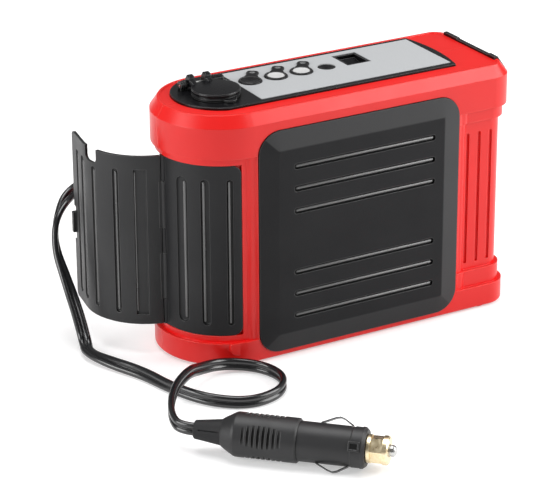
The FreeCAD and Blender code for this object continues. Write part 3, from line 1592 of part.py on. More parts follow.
def plug_tip():
    """The spring-loaded centre contact, with a ball end."""
    body = plug_body("plug_tip")
    collar, tip = plug_stations()[5:7]
    wide = D.tip_radius
    ball = wide - 0.1
    turned(body, "tip", [
        (0, tip_rear()), (3.6, tip_rear()), (3.6, collar - 4.1), (wide, collar - 4.1),
        (wide, collar + 0.5), (wide - 0.6, collar + 0.5), (wide - 0.6, collar + 0.9),
        (ball, collar + 0.9), (ball, tip - 2.2, 2.2), (ball - 2.2, tip), (0, tip)])
    return keep(body, "plug_tip")


def tip_rear():
    """Where the tip ends inside the nut and the fuse begins."""
    return plug_stations()[5] - 6.6


def plug_fuse():
    body = plug_body("plug_fuse")
    end, start = tip_rear(), tip_rear() - D.fuse_long
    cap, radius = size(5.5), D.fuse_radius
    turned(body, "fuse", [
        (0, start), (radius, start), (radius, start + cap), (radius - 0.2, start + cap),
        (radius - 0.2, end - cap), (radius, end - cap), (radius, end), (0, end)])
    return keep(body, "plug_fuse")


def plug_spring():
    """The spring behind the fuse, drawn as a closed sleeve at its pressed length."""
    body = plug_body("plug_spring")
    floor = plug_stations()[1] + D.barrel_floor
    end = tip_rear() - D.fuse_long - D.tip_travel - 0.2
    turned(body, "spring", [(2.0, floor), (3.2, floor), (3.2, end), (2.0, end)])
    return keep(body, "plug_spring")


def plug_contacts():
    """Two bowed side springs on opposite sides of the barrel."""
    members = []
    end = plug_stations()[3] - 0.9
    start = end - 17.0
    thick, half = D.contact_thick, D.contact_width / 2
    foot = D.barrel_radius + 0.05
    top = foot + D.contact_rise
    outside = [(foot, start), (foot + thick, start), (top - 0.7, start + 6.8), (top, start + 9.4),
               (top - 0.7, start + 11.8), (foot + thick, end), (foot, end)]
    inside = [(foot, end - thick), (top - thick - 0.7, start + 11.6), (top - thick, start + 9.4),
              (top - thick - 0.7, start + 7.0), (foot, start + thick)]
    for number, side in enumerate((1, -1)):
        body = plug_body("side_contact%d" % number)
        pad(body, "strip", "XZ_Plane", -half, 2 * half, [
            [(side * x, z) for x, z in outside + inside]])
        members.append(body)
    return keep(group("plug_contacts", members), "plug_contacts")


def check_and_write():
    doc.recompute()
    bad = [o.Label for o in doc.Objects if "Invalid" in o.State or "Error" in o.State]
    if bad:
        raise RuntimeError("failed objects: " + ", ".join(bad))
    os.makedirs("parts", exist_ok=True)
    for item in NODES:
        if item.Shape.isNull() or not item.Shape.isValid() or not item.Shape.Solids:
            raise RuntimeError(item.Label + " has no valid solid")
    for item in NODES:
        item.Shape.exportStep("parts/" + item.Label + ".step")
        print("%-20s %2d solids %9.0f mm3" % (item.Label, len(item.Shape.Solids), item.Shape.Volume))


def build():
    fill_sheet()
    shell("front_shell", -1)
    shell("rear_shell", 1)
    front_panel()
    side_cover()
    storage_door()
    door_hinge_pin()
    storage_bay()
    deck_bezel()
    control_label()
    for number, centre in enumerate(key_centres(), 1):
        key_bezel(number, centre)
        key_lamp(number, centre)
    label = label_top()
    names = ("start_button", "check_button", "reset_button")
    for name, centre in zip(names, key_centres()):
        push_button(name, centre, D.disc_radius, label + D.key_proud - 0.1, 0.5)
    push_button("light_button", light_button_centre(), D.light_button_radius, label - 0.3, 0.9)
    tact_switches()
    switch_frame()
    power_rocker()
    outlet_socket()
    outlet_sleeve()
    outlet_contact()
    outlet_cap()
    cap_hinge_pin()
    light_bezel()
    light_reflector()
    light_lamps()
    light_lens()
    battery()
    battery_terminals()
    circuit_board()
    relay()
    board_parts()
    board_fuse()
    lamp_diodes()
    case_screws()
    board_screws()
    lead_gland()
    power_lead()
    plug_strain_relief()
    plug_grip()
    plug_barrel()
    plug_collar()
    plug_tip()
    plug_fuse()
    plug_spring()
    plug_contacts()
    check_and_write()


build()
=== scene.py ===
# %% [markdown]
# # A portable battery booster with a 12 V lead
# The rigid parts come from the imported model, which already has its true sizes.  This lesson
# gives every part its finish, adds the flat lead and the small moulded details, and sets up the
# floor, the light and the camera.

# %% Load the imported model
import json
import math

import bpy
from mathutils import Matrix, Vector


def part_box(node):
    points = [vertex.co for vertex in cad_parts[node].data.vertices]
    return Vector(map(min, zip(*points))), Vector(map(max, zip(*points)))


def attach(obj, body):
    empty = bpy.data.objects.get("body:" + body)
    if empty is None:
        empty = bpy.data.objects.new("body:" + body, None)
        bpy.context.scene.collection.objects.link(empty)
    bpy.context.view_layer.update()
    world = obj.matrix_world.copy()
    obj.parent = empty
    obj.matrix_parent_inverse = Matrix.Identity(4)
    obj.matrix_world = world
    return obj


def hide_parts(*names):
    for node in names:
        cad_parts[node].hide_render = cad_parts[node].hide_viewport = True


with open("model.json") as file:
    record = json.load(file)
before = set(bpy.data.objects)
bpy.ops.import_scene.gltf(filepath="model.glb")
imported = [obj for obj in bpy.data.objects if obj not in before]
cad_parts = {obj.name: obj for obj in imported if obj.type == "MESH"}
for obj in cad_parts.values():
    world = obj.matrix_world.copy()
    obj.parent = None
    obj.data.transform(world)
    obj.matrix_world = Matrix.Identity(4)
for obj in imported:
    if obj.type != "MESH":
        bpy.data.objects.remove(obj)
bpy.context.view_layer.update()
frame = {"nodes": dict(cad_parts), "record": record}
MM = 0.001


# %% [markdown]
# ## The camera
# The booster is seen from a little above its front, turned towards its round left end.  A long
# lens keeps the upright edges nearly parallel, so the focal length is set first and the camera
# stands well back.

# %% Camera
CAMERA_PLACE = (-0.6738, -1.1415, 0.6055)
CAMERA_VIEW = (-29.5, 23.15, -0.26)  # azimuth, elevation and roll in degrees
LENS_LENGTH, SENSOR_WIDTH = 162.95, 36  # millimetres
FARTHEST_SEEN = 20  # metres


def look(azimuth, elevation, roll):
    """The turn of a camera that looks along +Y at azimuth 0, in degrees."""
    a, e = math.radians(azimuth), math.radians(elevation)
    ahead = Vector((-math.sin(a) * math.cos(e), math.cos(a) * math.cos(e), -math.sin(e)))
    turn = ahead.to_track_quat("-Z", "Y").to_matrix()
    return (turn @ Matrix.Rotation(math.radians(roll), 3, "Z")).to_euler()


bpy.ops.object.camera_add(location=CAMERA_PLACE, rotation=look(*CAMERA_VIEW))
camera = bpy.context.object
camera.name = "studio_camera"
camera.data.lens = LENS_LENGTH
camera.data.sensor_width = SENSOR_WIDTH
camera.data.clip_end = FARTHEST_SEEN
bpy.context.scene.camera = camera
print("camera stands", round(camera.location.length, 3), "m from the origin")


# %% [markdown]
# ## The lead
# The lead is a flat twin cable, two round cores side by side in one soft jacket.  Its line is one
# smooth curve through the points below: out of the gland at the rear, down past the open door,
# round in a loop on the floor and up into the plug.  A flat section is swept along that line,
# which keeps a little over half the lead's width above the floor where the lead runs on it.

# %% The lead's line
# millimetres, from the gland to the plug
LEAD_POINTS = [
    (-34.0, 56.5, 70.0), (-34.0, 72.0, 70.0), (-44.0, 86.0, 70.0), (-66.0, 92.0, 71.0),
    (-95.0, 88.0, 74.0), (-122.0, 73.5, 76.0), (-136.5, 63.0, 65.5), (-141.0, 56.0, 52.0),
    (-141.0, 42.5, 37.0), (-139.6, 31.5, 20.0), (-138.8, 24.5, 4.8), (-142.6, 14.0, 3.7),
    (-137.0, -4.0, 3.7), (-127.5, -25.0, 3.7), (-122.5, -49.0, 3.7), (-113.0, -71.0, 3.7),
    (-95.5, -86.0, 3.7), (-74.5, -83.0, 3.7), (-63.5, -68.0, 3.7), (-68.0, -48.5, 3.7),
    (-86.0, -37.5, 5.0), (-105.0, -45.0, 9.0), (-117.5, -58.0, 15.5), (-131.5, -70.0, 15.4),
    (-142.0, -85.0, 14.0), (-147.0, -97.0, 12.5), (-147.5, -106.0, 11.65),
    (-141.7, -111.5, 11.65),
]
LEAD_WIDTH = 7.2 * MM
LINE_ORDER = 3
LINE_STEPS = 10  # points on the line from each given point to the next

lead_curve = bpy.data.curves.new("lead_line", "CURVE")
lead_curve.dimensions = "3D"
lead_curve.resolution_u = LINE_STEPS
line = lead_curve.splines.new("NURBS")
line.points.add(len(LEAD_POINTS) - 1)
for point, place in zip(line.points, LEAD_POINTS):
    point.co = (place[0] * MM, place[1] * MM, place[2] * MM, 1)
line.order_u = LINE_ORDER
line.use_endpoint_u = True
lead_line = bpy.data.objects.new("lead_line", lead_curve)
bpy.context.collection.objects.link(lead_line)

sampled = bpy.data.meshes.new_from_object(lead_line)
lead_path = [v.co.copy() for v in sampled.vertices]
bpy.data.meshes.remove(sampled)
bpy.data.objects.remove(lead_line)
print("lead line has", len(lead_path), "points and is",
      round(sum((b - a).length for a, b in zip(lead_path, lead_path[1:])), 4), "m long")


# %% [markdown]
# A flat lead bends easily only across its thin side.  So it stands on edge where it turns level,
# in the loop and on the way round the rear, and faces outwards where it comes down past the door.
# Where it folds onto the floor, its wide side runs across the fold.  The wide side is therefore
# given as a direction at a few of the line's points, and it turns smoothly between them.

# %% Which way the lead's wide side runs
UPRIGHT = Vector((0, 0, 1))
REARWARD = Vector((0.49, 0.87, 0))
ACROSS = Vector((0.87, -0.49, 0))
# each row: a place along LEAD_POINTS, counted from 0, and the way the wide side runs there
WIDE_SIDE = [
    (0, UPRIGHT), (2, UPRIGHT), (6.5, REARWARD), (9.5, ACROSS), (11, ACROSS), (14, UPRIGHT),
    (27, UPRIGHT),
]


def wide_side(share):
    """The direction of the wide side at a share of the way along the lead."""
    at = share * (len(LEAD_POINTS) - 1)
    for (first, one), (last, other) in zip(WIDE_SIDE, WIDE_SIDE[1:]):
        if at <= last:
            return one.lerp(other, (at - first) / (last - first))
    return WIDE_SIDE[-1][1]


print("the wide side is given at", len(WIDE_SIDE), "places")


# %% The lead
CORE_STEPS, CORE_STEP = 12, 26  # each core's outline, in steps of so many degrees
LEAD_CREASE = 50  # degrees


def lead_section():
    """The outline of two round cores in one jacket, with a groove where they meet."""
    core = LEAD_WIDTH / 4
    half = []
    for step in range(CORE_STEPS + 1):
        angle = math.radians(CORE_STEP * (step - CORE_STEPS // 2))
        half.append((core + core * math.cos(angle), core * math.sin(angle)))
    return half + [(-x, -y) for x, y in half]


def sweep_lead(path, section):
    """A closed skin of the section carried along the path, with a flat end at each side."""
    corners, faces, size = [], [], len(section)
    for number, place in enumerate(path):
        before, after = path[max(number - 1, 0)], path[min(number + 1, len(path) - 1)]
        along = (after - before).normalized()
        wide = wide_side(number / (len(path) - 1))
        wide = (wide - along * wide.dot(along)).normalized()
        thin = along.cross(wide)
        corners += [place + wide * x + thin * y for x, y in section]
    for ring in range(len(path) - 1):
        for side in range(size):
            a, b = ring * size + side, ring * size + (side + 1) % size
            faces.append((a, b, b + size, a + size))
    faces.append(tuple(range(size))[::-1])
    faces.append(tuple(range(len(corners) - size, len(corners))))
    skin = bpy.data.meshes.new("flat_lead")
    skin.from_pydata([tuple(c) for c in corners], [], faces)
    return skin


flat_lead = bpy.data.objects.new("flat_lead", sweep_lead(lead_path, lead_section()))
bpy.context.collection.objects.link(flat_lead)
bpy.ops.object.select_all(action="DESELECT")
flat_lead.select_set(True)
bpy.context.view_layer.objects.active = flat_lead
bpy.ops.object.mode_set(mode="EDIT")
bpy.ops.mesh.select_all(action="SELECT")
bpy.ops.mesh.normals_make_consistent(inside=False)
bpy.ops.object.mode_set(mode="OBJECT")
bpy.ops.object.shade_smooth_by_angle(angle=math.radians(LEAD_CREASE))
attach(flat_lead, "booster")
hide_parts("power_lead")
print("lead has", len(flat_lead.data.polygons), "faces")


# %% [markdown]
# ## The ribs in the slots
# Each slot of the front panel, the side cover and the door holds a low rounded rib, painted pale so
# that it shows as one thin line of painted highlight.  A rib is half of a ball at each end of a
# bar:
# a ball is added at one end of the slot and its far half is extruded to the other end.  The panel's
# are then made higher, to nearly fill their deeper slots.  They are all of one size, so the first
# is made and the others are copies with meshes of their own.

# %% A rounded rib
BALL_SEGMENTS, BALL_RINGS = 20, 10
RIB_CREASE = 60  # degrees


def pick_faces(piece, wanted):
    """Selects the faces whose middle passes a test, then goes to edit mode."""
    bpy.ops.object.mode_set(mode="OBJECT")
    for face in piece.data.polygons:
        face.select = wanted(face.center)
    bpy.ops.object.mode_set(mode="EDIT")
    bpy.ops.mesh.select_mode(type="FACE")


def rounded_rib(name, start, run, width, level_height=0):
    """A bar with ball ends from start along run.  A level one stands level_height off its floor."""
    bpy.ops.object.select_all(action="DESELECT")
    bpy.ops.mesh.primitive_uv_sphere_add(
        segments=BALL_SEGMENTS, ring_count=BALL_RINGS, radius=width / 2, location=start,
        rotation=(0, math.radians(90), 0) if level_height else (0, 0, 0))
    rib = bpy.context.object
    rib.name = name
    bpy.ops.object.transform_apply(location=True, rotation=True, scale=True)
    bpy.ops.object.mode_set(mode="EDIT")
    bpy.ops.mesh.select_mode(type="FACE")
    bpy.ops.mesh.select_all(action="DESELECT")
    pick_faces(rib, lambda middle: (middle - start).dot(run) > 0)
    bpy.ops.mesh.extrude_region_move(TRANSFORM_OT_translate={"value": run})
    bpy.ops.mesh.select_all(action="SELECT")
    if level_height:
        stretch = 2 * level_height / width
        bpy.ops.transform.resize(value=(1, stretch, 1), center_override=start)
    bpy.ops.mesh.normals_make_consistent(inside=False)
    bpy.ops.object.mode_set(mode="OBJECT")
    bpy.ops.object.shade_smooth_by_angle(angle=math.radians(RIB_CREASE))
    return rib


def copy_rib(rib, name, shift):
    """A second rib of the same size, moved by a shift, with its own mesh."""
    twin = rib.copy()
    twin.data = rib.data.copy()
    twin.name = name
    bpy.context.collection.objects.link(twin)
    twin.data.transform(Matrix.Translation(shift))
    return twin


# %% Ribs of the front panel
PANEL_SLOT_INSETS = (20.4 * MM, 17.0 * MM)  # from the panel's left and right sides
PANEL_SLOT_DEPTH = 1.5 * MM
PANEL_RIB_HEIGHTS = [25.1, 38.0, 50.9, 86.9, 99.8, 112.7]  # millimetres above the floor
RIB_WIDTH, RIB_HEIGHT = 1.9 * MM, 1.25 * MM

panel_low, panel_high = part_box("front_panel")
rib_start = Vector((panel_low[0] + PANEL_SLOT_INSETS[0] + RIB_WIDTH,
                    panel_low[1] + PANEL_SLOT_DEPTH, PANEL_RIB_HEIGHTS[0] * MM))
rib_run = Vector((panel_high[0] - PANEL_SLOT_INSETS[1] - RIB_WIDTH - rib_start.x, 0, 0))
first_rib = rounded_rib("panel_rib_1", rib_start, rib_run, RIB_WIDTH, RIB_HEIGHT)
panel_ribs = [first_rib]
for number, height in enumerate(PANEL_RIB_HEIGHTS[1:], 2):
    shift = Vector((0, 0, height * MM - rib_start.z))
    panel_ribs.append(copy_rib(first_rib, "panel_rib_%d" % number, shift))
for rib in panel_ribs:
    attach(rib, "booster")
print("panel has", len(panel_ribs), "ribs", round(rib_run.x, 4), "m long")


# %% Ribs of the side cover
COVER_CENTRE_X = -64.75 * MM
COVER_REACH = 36.1 * MM
COVER_SLOT_DEPTH = 1.15 * MM
COVER_SLOT_ENDS = (24.0 * MM, 109.5 * MM)
RIB_CREST = 0.85 * MM  # how far a crest stands off its slot's floor
# each rib: its angle round the cover's centre in degrees, its width in millimetres, and how far
# in millimetres the middles of its ball ends stay from the ends of the slots
COVER_RIBS = [(-152.4, 2.1, 3.5), (-134.0, 1.6, 2.4), (-111.4, 1.4, 1.7)]


def outwards(angle):
    """The level direction at an angle in degrees."""
    return Vector((math.cos(math.radians(angle)), math.sin(math.radians(angle)), 0))


def rib_seat(width):
    """How far a rib's middle lies from the round end's centre, for its crest to stand right."""
    return COVER_REACH - COVER_SLOT_DEPTH - (width / 2 - RIB_CREST)


cover_ribs = []
for number, (angle, width, slot_end) in enumerate(COVER_RIBS, 1):
    low = Vector((COVER_CENTRE_X, 0, COVER_SLOT_ENDS[0] + slot_end * MM))
    foot = low + outwards(angle) * rib_seat(width * MM)
    run = Vector((0, 0, COVER_SLOT_ENDS[1] - COVER_SLOT_ENDS[0] - 2 * slot_end * MM))
    rib = rounded_rib("cover_rib_%d" % number, foot, run, width * MM)
    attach(rib, "booster")
    cover_ribs.append(rib)
print("side cover has", len(cover_ribs), "ribs")


# %% [markdown]
# The door has the same curve as the side cover, and a flat part past it.  Its ribs are placed as
# if it were shut, where the round end's centre is theirs too, and are then swung open with it
# about its hinge.  They ride on the door, so they close with it.

# %% Ribs of the door
DOOR_HINGE = Vector((-99.75 * MM, 0, 0))
DOOR_OPEN = 80.5  # degrees
DOOR_RIB_LIFT = 2.4 * MM  # from the low end of the slots
# each rib on the curve: its angle round the round end's centre in degrees, and in millimetres
# its width and the height of its top end
CURVED_RIBS = [(136.0, 1.5, 107.0), (111.5, 1.5, 104.8), (153.5, 0.9, 107.6)]
# each rib on the flat part: in millimetres, its place across from that centre, its width and the
# height of its top end
FLAT_RIBS = [(-1.0, 2.2, 106.0), (9.0, 1.8, 106.5)]


def door_rib(name, across, out, width, top):
    """A rib in a slot of the shut door, swung open with it."""
    low = COVER_SLOT_ENDS[0] + DOOR_RIB_LIFT
    foot = Vector((COVER_CENTRE_X, 0, low)) + across + out * rib_seat(width)
    swing = Matrix.Rotation(math.radians(DOOR_OPEN), 3, "Z")
    foot = DOOR_HINGE + swing @ (foot - DOOR_HINGE)
    rib = rounded_rib(name, foot, Vector((0, 0, top - low)), width)
    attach(rib, "door")
    return rib


door_places = [(Vector((0, 0, 0)), outwards(angle), width, top)
               for angle, width, top in CURVED_RIBS]
door_places += [(Vector((across * MM, 0, 0)), Vector((0, 1, 0)), width, top)
                for across, width, top in FLAT_RIBS]
door_ribs = [door_rib("door_rib_%d" % number, across, out, width * MM, top * MM)
             for number, (across, out, width, top) in enumerate(door_places, 1)]
print("door has", len(door_ribs), "ribs")


# %% [markdown]
# ## The windows of the plug
# The plug's barrel has a small framed window on each side, over the roots of its two springs.
# A block is added flat, its top is inset and pushed in to leave a frame, and all its edges are
# bevelled.  Only then is it turned to face out of the barrel, so the shaping stays square.

# %% Plug windows
PLUG_END = Vector(LEAD_POINTS[-1]) * MM
PLUG_AXIS = Vector((0.7254, -0.6884, 0))
PLUG_SIDE = Vector((-0.6884, -0.7254, 0))
WINDOW_STATION = 85.2 * MM
WINDOW_SIZE = (6.0 * MM, 5.2 * MM, 1.6 * MM)
WINDOW_FRAME, WINDOW_RECESS, WINDOW_BEVEL = 1.0 * MM, 0.32 * MM, 0.22 * MM
WINDOW_REACH = 11.15 * MM  # from the plug's axis to the frame's face
WINDOW_ANGLE = 28  # degrees


def plug_window(name, angle):
    """A framed window on the barrel, at an angle above the plug's near side."""
    bpy.ops.object.select_all(action="DESELECT")
    bpy.ops.mesh.primitive_cube_add(size=1, scale=WINDOW_SIZE)
    window = bpy.context.object
    window.name = name
    bpy.ops.object.transform_apply(location=False, rotation=False, scale=True)
    bpy.ops.object.mode_set(mode="EDIT")
    bpy.ops.mesh.select_mode(type="FACE")
    bpy.ops.mesh.select_all(action="DESELECT")
    pick_faces(window, lambda middle: middle.z > 0.4 * WINDOW_SIZE[2])
    bpy.ops.mesh.inset(thickness=WINDOW_FRAME)
    bpy.ops.mesh.extrude_region_move(TRANSFORM_OT_translate={"value": (0, 0, -WINDOW_RECESS)})
    bpy.ops.mesh.select_all(action="SELECT")
    bpy.ops.mesh.bevel(offset=WINDOW_BEVEL, segments=2, affect="EDGES")
    bpy.ops.object.mode_set(mode="OBJECT")
    out = PLUG_SIDE * math.cos(math.radians(angle)) + UPRIGHT * math.sin(math.radians(angle))
    turn = Matrix((PLUG_AXIS, out.cross(PLUG_AXIS), out)).transposed().to_4x4()
    middle = PLUG_END + PLUG_AXIS * WINDOW_STATION + out * (WINDOW_REACH - WINDOW_SIZE[2] / 2)
    window.data.transform(Matrix.Translation(middle) @ turn)
    window.data.update()
    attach(window, "booster")
    return window


plug_windows = [plug_window("plug_window_1", WINDOW_ANGLE),
                plug_window("plug_window_2", 180 + WINDOW_ANGLE)]
print("plug windows have", len(plug_windows[0].data.polygons), "faces each")


# %% [markdown]

print("the lead and the plug's windows are made")


# %% [markdown]
# ## Finishes
# Every finish starts from one shader.  Real mouldings are never quite even: a texture too fine to
# see as a shape still breaks up the highlight, and handling leaves faint changes in gloss.  A fine
# bump gives the first and a soft, large noise in the roughness gives the second.  All patterns are
# read in the object's own metres, so their grain has its real size.

# %% Steps that every finish uses
BEVEL_SAMPLES = 6
FINE_RELIEF = 0.00002  # the height in metres of the finest texture


def new_finish(name, colour, roughness, metallic=0.0):
    """A material with a plain shader, returned with its shader node and its tree."""
    finish = bpy.data.materials.new(name)
    finish.use_nodes = True
    tree = finish.node_tree
    shader = tree.nodes["Principled BSDF"]
    shader.inputs["Base Color"].default_value = (*colour, 1)
    shader.inputs["Roughness"].default_value = roughness
    shader.inputs["Metallic"].default_value = metallic
    return finish, shader, tree


def grain(tree, scale, detail=2.0, stretch=(1, 1, 1)):
    """A noise in the object's own metres."""
    place = tree.nodes.new("ShaderNodeTexCoord")
    mapping = tree.nodes.new("ShaderNodeMapping")
    mapping.inputs["Scale"].default_value = stretch
    noise = tree.nodes.new("ShaderNodeTexNoise")
    noise.inputs["Scale"].default_value = scale
    noise.inputs["Detail"].default_value = detail
    tree.links.new(place.outputs["Object"], mapping.inputs["Vector"])
    tree.links.new(mapping.outputs["Vector"], noise.inputs["Vector"])
    return noise.outputs["Fac"]


def spread(tree, value, low, high, start=0.3, end=0.7):
    """Maps a noise to a range."""
    node = tree.nodes.new("ShaderNodeMapRange")
    node.inputs["From Min"].default_value = start
    node.inputs["From Max"].default_value = end
    node.inputs["To Min"].default_value = low
    node.inputs["To Max"].default_value = high
    tree.links.new(value, node.inputs["Value"])
    return node.outputs["Result"]


def tint(tree, value, dark, light):
    """Mixes two colours by a value from 0 to 1."""
    node = tree.nodes.new("ShaderNodeMix")
    node.data_type = "RGBA"
    tree.links.new(value, node.inputs["Factor"])
    node.inputs["A"].default_value = (*dark, 1)
    node.inputs["B"].default_value = (*light, 1)
    return node.outputs["Result"]


def bump(tree, shader, height, strength, distance, soft_edge=0.0):
    """Raises a fine texture, with its real height in metres, on edges rounded by soft_edge."""
    node = tree.nodes.new("ShaderNodeBump")
    node.inputs["Strength"].default_value = strength
    node.inputs["Distance"].default_value = distance
    tree.links.new(height, node.inputs["Height"])
    if soft_edge:
        rounding = tree.nodes.new("ShaderNodeBevel")
        rounding.samples = BEVEL_SAMPLES
        rounding.inputs["Radius"].default_value = soft_edge
        tree.links.new(rounding.outputs["Normal"], node.inputs["Normal"])
    tree.links.new(node.outputs["Normal"], shader.inputs["Normal"])


# %% [markdown]
# Two more marks are painted on a moulding.  Along its edges a paler colour is painted as a thin
# highlight, partly from handling, and the edges are made smoother.  In its grooves a darker colour
# is painted as shade.
# The ambient occlusion node finds both: its rays go outwards for grooves and inwards for edges.

# %% Edges and grooves
EDGE_REACH, GROOVE_REACH = 0.5 * MM, 2.2 * MM
EDGE_POLISH = 0.20
MASK_SAMPLES = 8
OPEN_SKY = (0.55, 0.95)  # how much is unblocked where a mask is full, and where it ends


def tight(tree, reach, inside):
    """A mask that is 1 deep in a groove, or along an outer edge if inside is true."""
    node = tree.nodes.new("ShaderNodeAmbientOcclusion")
    node.samples = MASK_SAMPLES
    node.inside = inside
    node.only_local = inside
    node.inputs["Distance"].default_value = reach
    return spread(tree, node.outputs["AO"], 1, 0, *OPEN_SKY)


def blend(tree, value, base, colour):
    """Lays a colour over a linked base by a value from 0 to 1."""
    node = tree.nodes.new("ShaderNodeMix")
    node.data_type = "RGBA"
    tree.links.new(value, node.inputs["Factor"])
    tree.links.new(base, node.inputs["A"])
    node.inputs["B"].default_value = (*colour, 1)
    return node.outputs["Result"]


def polish(tree, value, rough, smooth):
    """Lowers a linked roughness to a smooth one by a value from 0 to 1."""
    node = tree.nodes.new("ShaderNodeMix")
    tree.links.new(value, node.inputs["Factor"])
    tree.links.new(rough, node.inputs["A"])
    node.inputs["B"].default_value = smooth
    return node.outputs["Result"]


print("edges are found over", EDGE_REACH, "m and grooves over", GROOVE_REACH, "m")


# %% [markdown]
# Light is painted on the sloping border round the panel: it is made paler than its middle, each
# side by its own amount, as light falls on it.
# A mask for it comes from arithmetic on the place: how far a point lies past the inner outline,
# and whether it lies further past a side or past the top or bottom.  So the corners are mitred.

# %% Painted light on the panel's border
# how much paler each side is painted, by how light falls on it: left and right, then bottom and top
BORDER_PAINTED_LIGHT = {"X": (0.08, 0.9), "Z": (0.45, 0.85)}
PANEL_BORDER = 11.0 * MM
BORDER_BLUR = 0.5 * MM


def work_out(tree, operation, one, two):
    """One step of arithmetic on a linked value and a second one, linked or plain."""
    node = tree.nodes.new("ShaderNodeMath")
    node.operation = operation
    tree.links.new(one, node.inputs[0])
    if isinstance(two, (int, float)):
        node.inputs[1].default_value = two
    else:
        tree.links.new(two, node.inputs[1])
    return node.outputs[0]


def border_light_mask(tree, low, high, width):
    """A mask along the four sides of an upright plate, each side as bright as BORDER_PAINTED_LIGHT
    says.
    """
    place = tree.nodes.new("ShaderNodeTexCoord")
    split = tree.nodes.new("ShaderNodeSeparateXYZ")
    tree.links.new(place.outputs["Object"], split.inputs[0])
    past, side_light = [], []
    for axis, number in (("X", 0), ("Z", 2)):
        offset = work_out(tree, "SUBTRACT", split.outputs[axis], (low[number] + high[number]) / 2)
        inner = (high[number] - low[number]) / 2 - width
        past.append(work_out(tree, "SUBTRACT", work_out(tree, "ABSOLUTE", offset, 0), inner))
        side_light.append(spread(tree, offset, *BORDER_PAINTED_LIGHT[axis], -MM, MM))
    inside = spread(tree, work_out(tree, "MAXIMUM", *past), 0, 1, -BORDER_BLUR, BORDER_BLUR)
    sideways = spread(tree, work_out(tree, "SUBTRACT", *past), 0, 1, -BORDER_BLUR, BORDER_BLUR)
    upright = work_out(tree, "SUBTRACT", side_light[0], side_light[1])
    lit_sides = work_out(tree, "ADD", side_light[1], work_out(tree, "MULTIPLY", sideways, upright))
    return work_out(tree, "MULTIPLY", inside, lit_sides)


print("the panel's border is", PANEL_BORDER, "m wide")


# %% A moulded plastic
SHADE_GRAIN, GLOSS_GRAIN = (22, 4), (60, 3)  # scale and detail of each slow change


def moulded(name, dark, light, rough, texture_scale, texture_height, strength=0.5, gloss=0.5,
            edge=None, groove=None, edge_reach=EDGE_REACH, soft_edge=0.5 * MM, border=None):
    """A moulded plastic: two close shades, uneven gloss, a fine texture, a painted highlight along
    its edges, painted shade in its grooves and painted light on a border.
    """
    finish, shader, tree = new_finish(name, light, rough[0])
    shader.inputs["Specular IOR Level"].default_value = gloss
    colour = tint(tree, spread(tree, grain(tree, *SHADE_GRAIN), 0, 1), dark, light)
    roughness = spread(tree, grain(tree, *GLOSS_GRAIN), *rough)
    # painted light: the panel's sloping border is made paler, each side by how light falls on it
    if border:
        colour = blend(tree, border_light_mask(tree, *border[:3]), colour, border[3])
    # painted shade: grooves get a darker colour, a deeper red on the red shell
    if groove:
        colour = blend(tree, tight(tree, GROOVE_REACH, False), colour, groove)
    # painted highlight, partly from handling: outer edges get a paler colour and a lower roughness
    if edge:
        worn_edge_highlight = tight(tree, edge_reach, True)
        colour = blend(tree, worn_edge_highlight, colour, edge)
        roughness = polish(tree, worn_edge_highlight, roughness, EDGE_POLISH)
    tree.links.new(colour, shader.inputs["Base Color"])
    tree.links.new(roughness, shader.inputs["Roughness"])
    bump(tree, shader, grain(tree, texture_scale, 2), strength, texture_height, soft_edge)
    return finish


print("a moulded plastic changes shade over", round(1 / SHADE_GRAIN[0], 3), "m")


# %% [markdown]
# ## The housing, panel and covers
# The red shells are smooth and softly glossy.  The front panel, the side cover and the door are
# spark-textured black: matt, but with a grey sheen where light grazes them.

# %% Plastic finishes
# each one: its name, its darker and its lighter shade, the range of its roughness, the scale and
# the height in metres of its texture, the strength of that, and its gloss
# edge is a paler colour painted along edges as a highlight, partly from handling; groove is a
# darker colour painted in grooves as shade; border is light painted on the panel's sloping sides
red_shell = moulded(
    "red_shell", (0.66, 0.010, 0.008), (0.74, 0.012, 0.010), (0.28, 0.36),
    2600, 0.00004, 0.35, 0.42, edge=(0.84, 0.05, 0.04), groove=(0.80, 0.004, 0.004))
panel_skin = moulded(
    "panel_skin", (0.003, 0.003, 0.004), (0.006, 0.006, 0.007), (0.40, 0.52),
    1700, 0.00010, 0.8, 0.20, edge=(0.06, 0.06, 0.06), groove=(0.002, 0.002, 0.002),
    soft_edge=0.8 * MM,
    # painted light on the panel's sloping border: a paler grey
    border=(*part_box("front_panel"), PANEL_BORDER, (0.044, 0.044, 0.045)))
cover_skin = moulded(
    "cover_skin", (0.006, 0.006, 0.007), (0.011, 0.011, 0.012), (0.38, 0.48),
    1700, 0.00010, 0.8, 0.28, edge=(0.06, 0.06, 0.06), groove=(0.002, 0.002, 0.002),
    edge_reach=0.35 * MM, soft_edge=0.6 * MM)
# painted sheen: the door is the side cover's black made paler, for the light that falls on it
door_painted_sheen = moulded(
    "door_painted_sheen", (0.011, 0.011, 0.012), (0.018, 0.018, 0.019), (0.38, 0.48),
    1700, 0.00010, 0.8, 0.38, edge=(0.09, 0.09, 0.09), groove=(0.002, 0.002, 0.002),
    edge_reach=0.35 * MM, soft_edge=0.6 * MM)
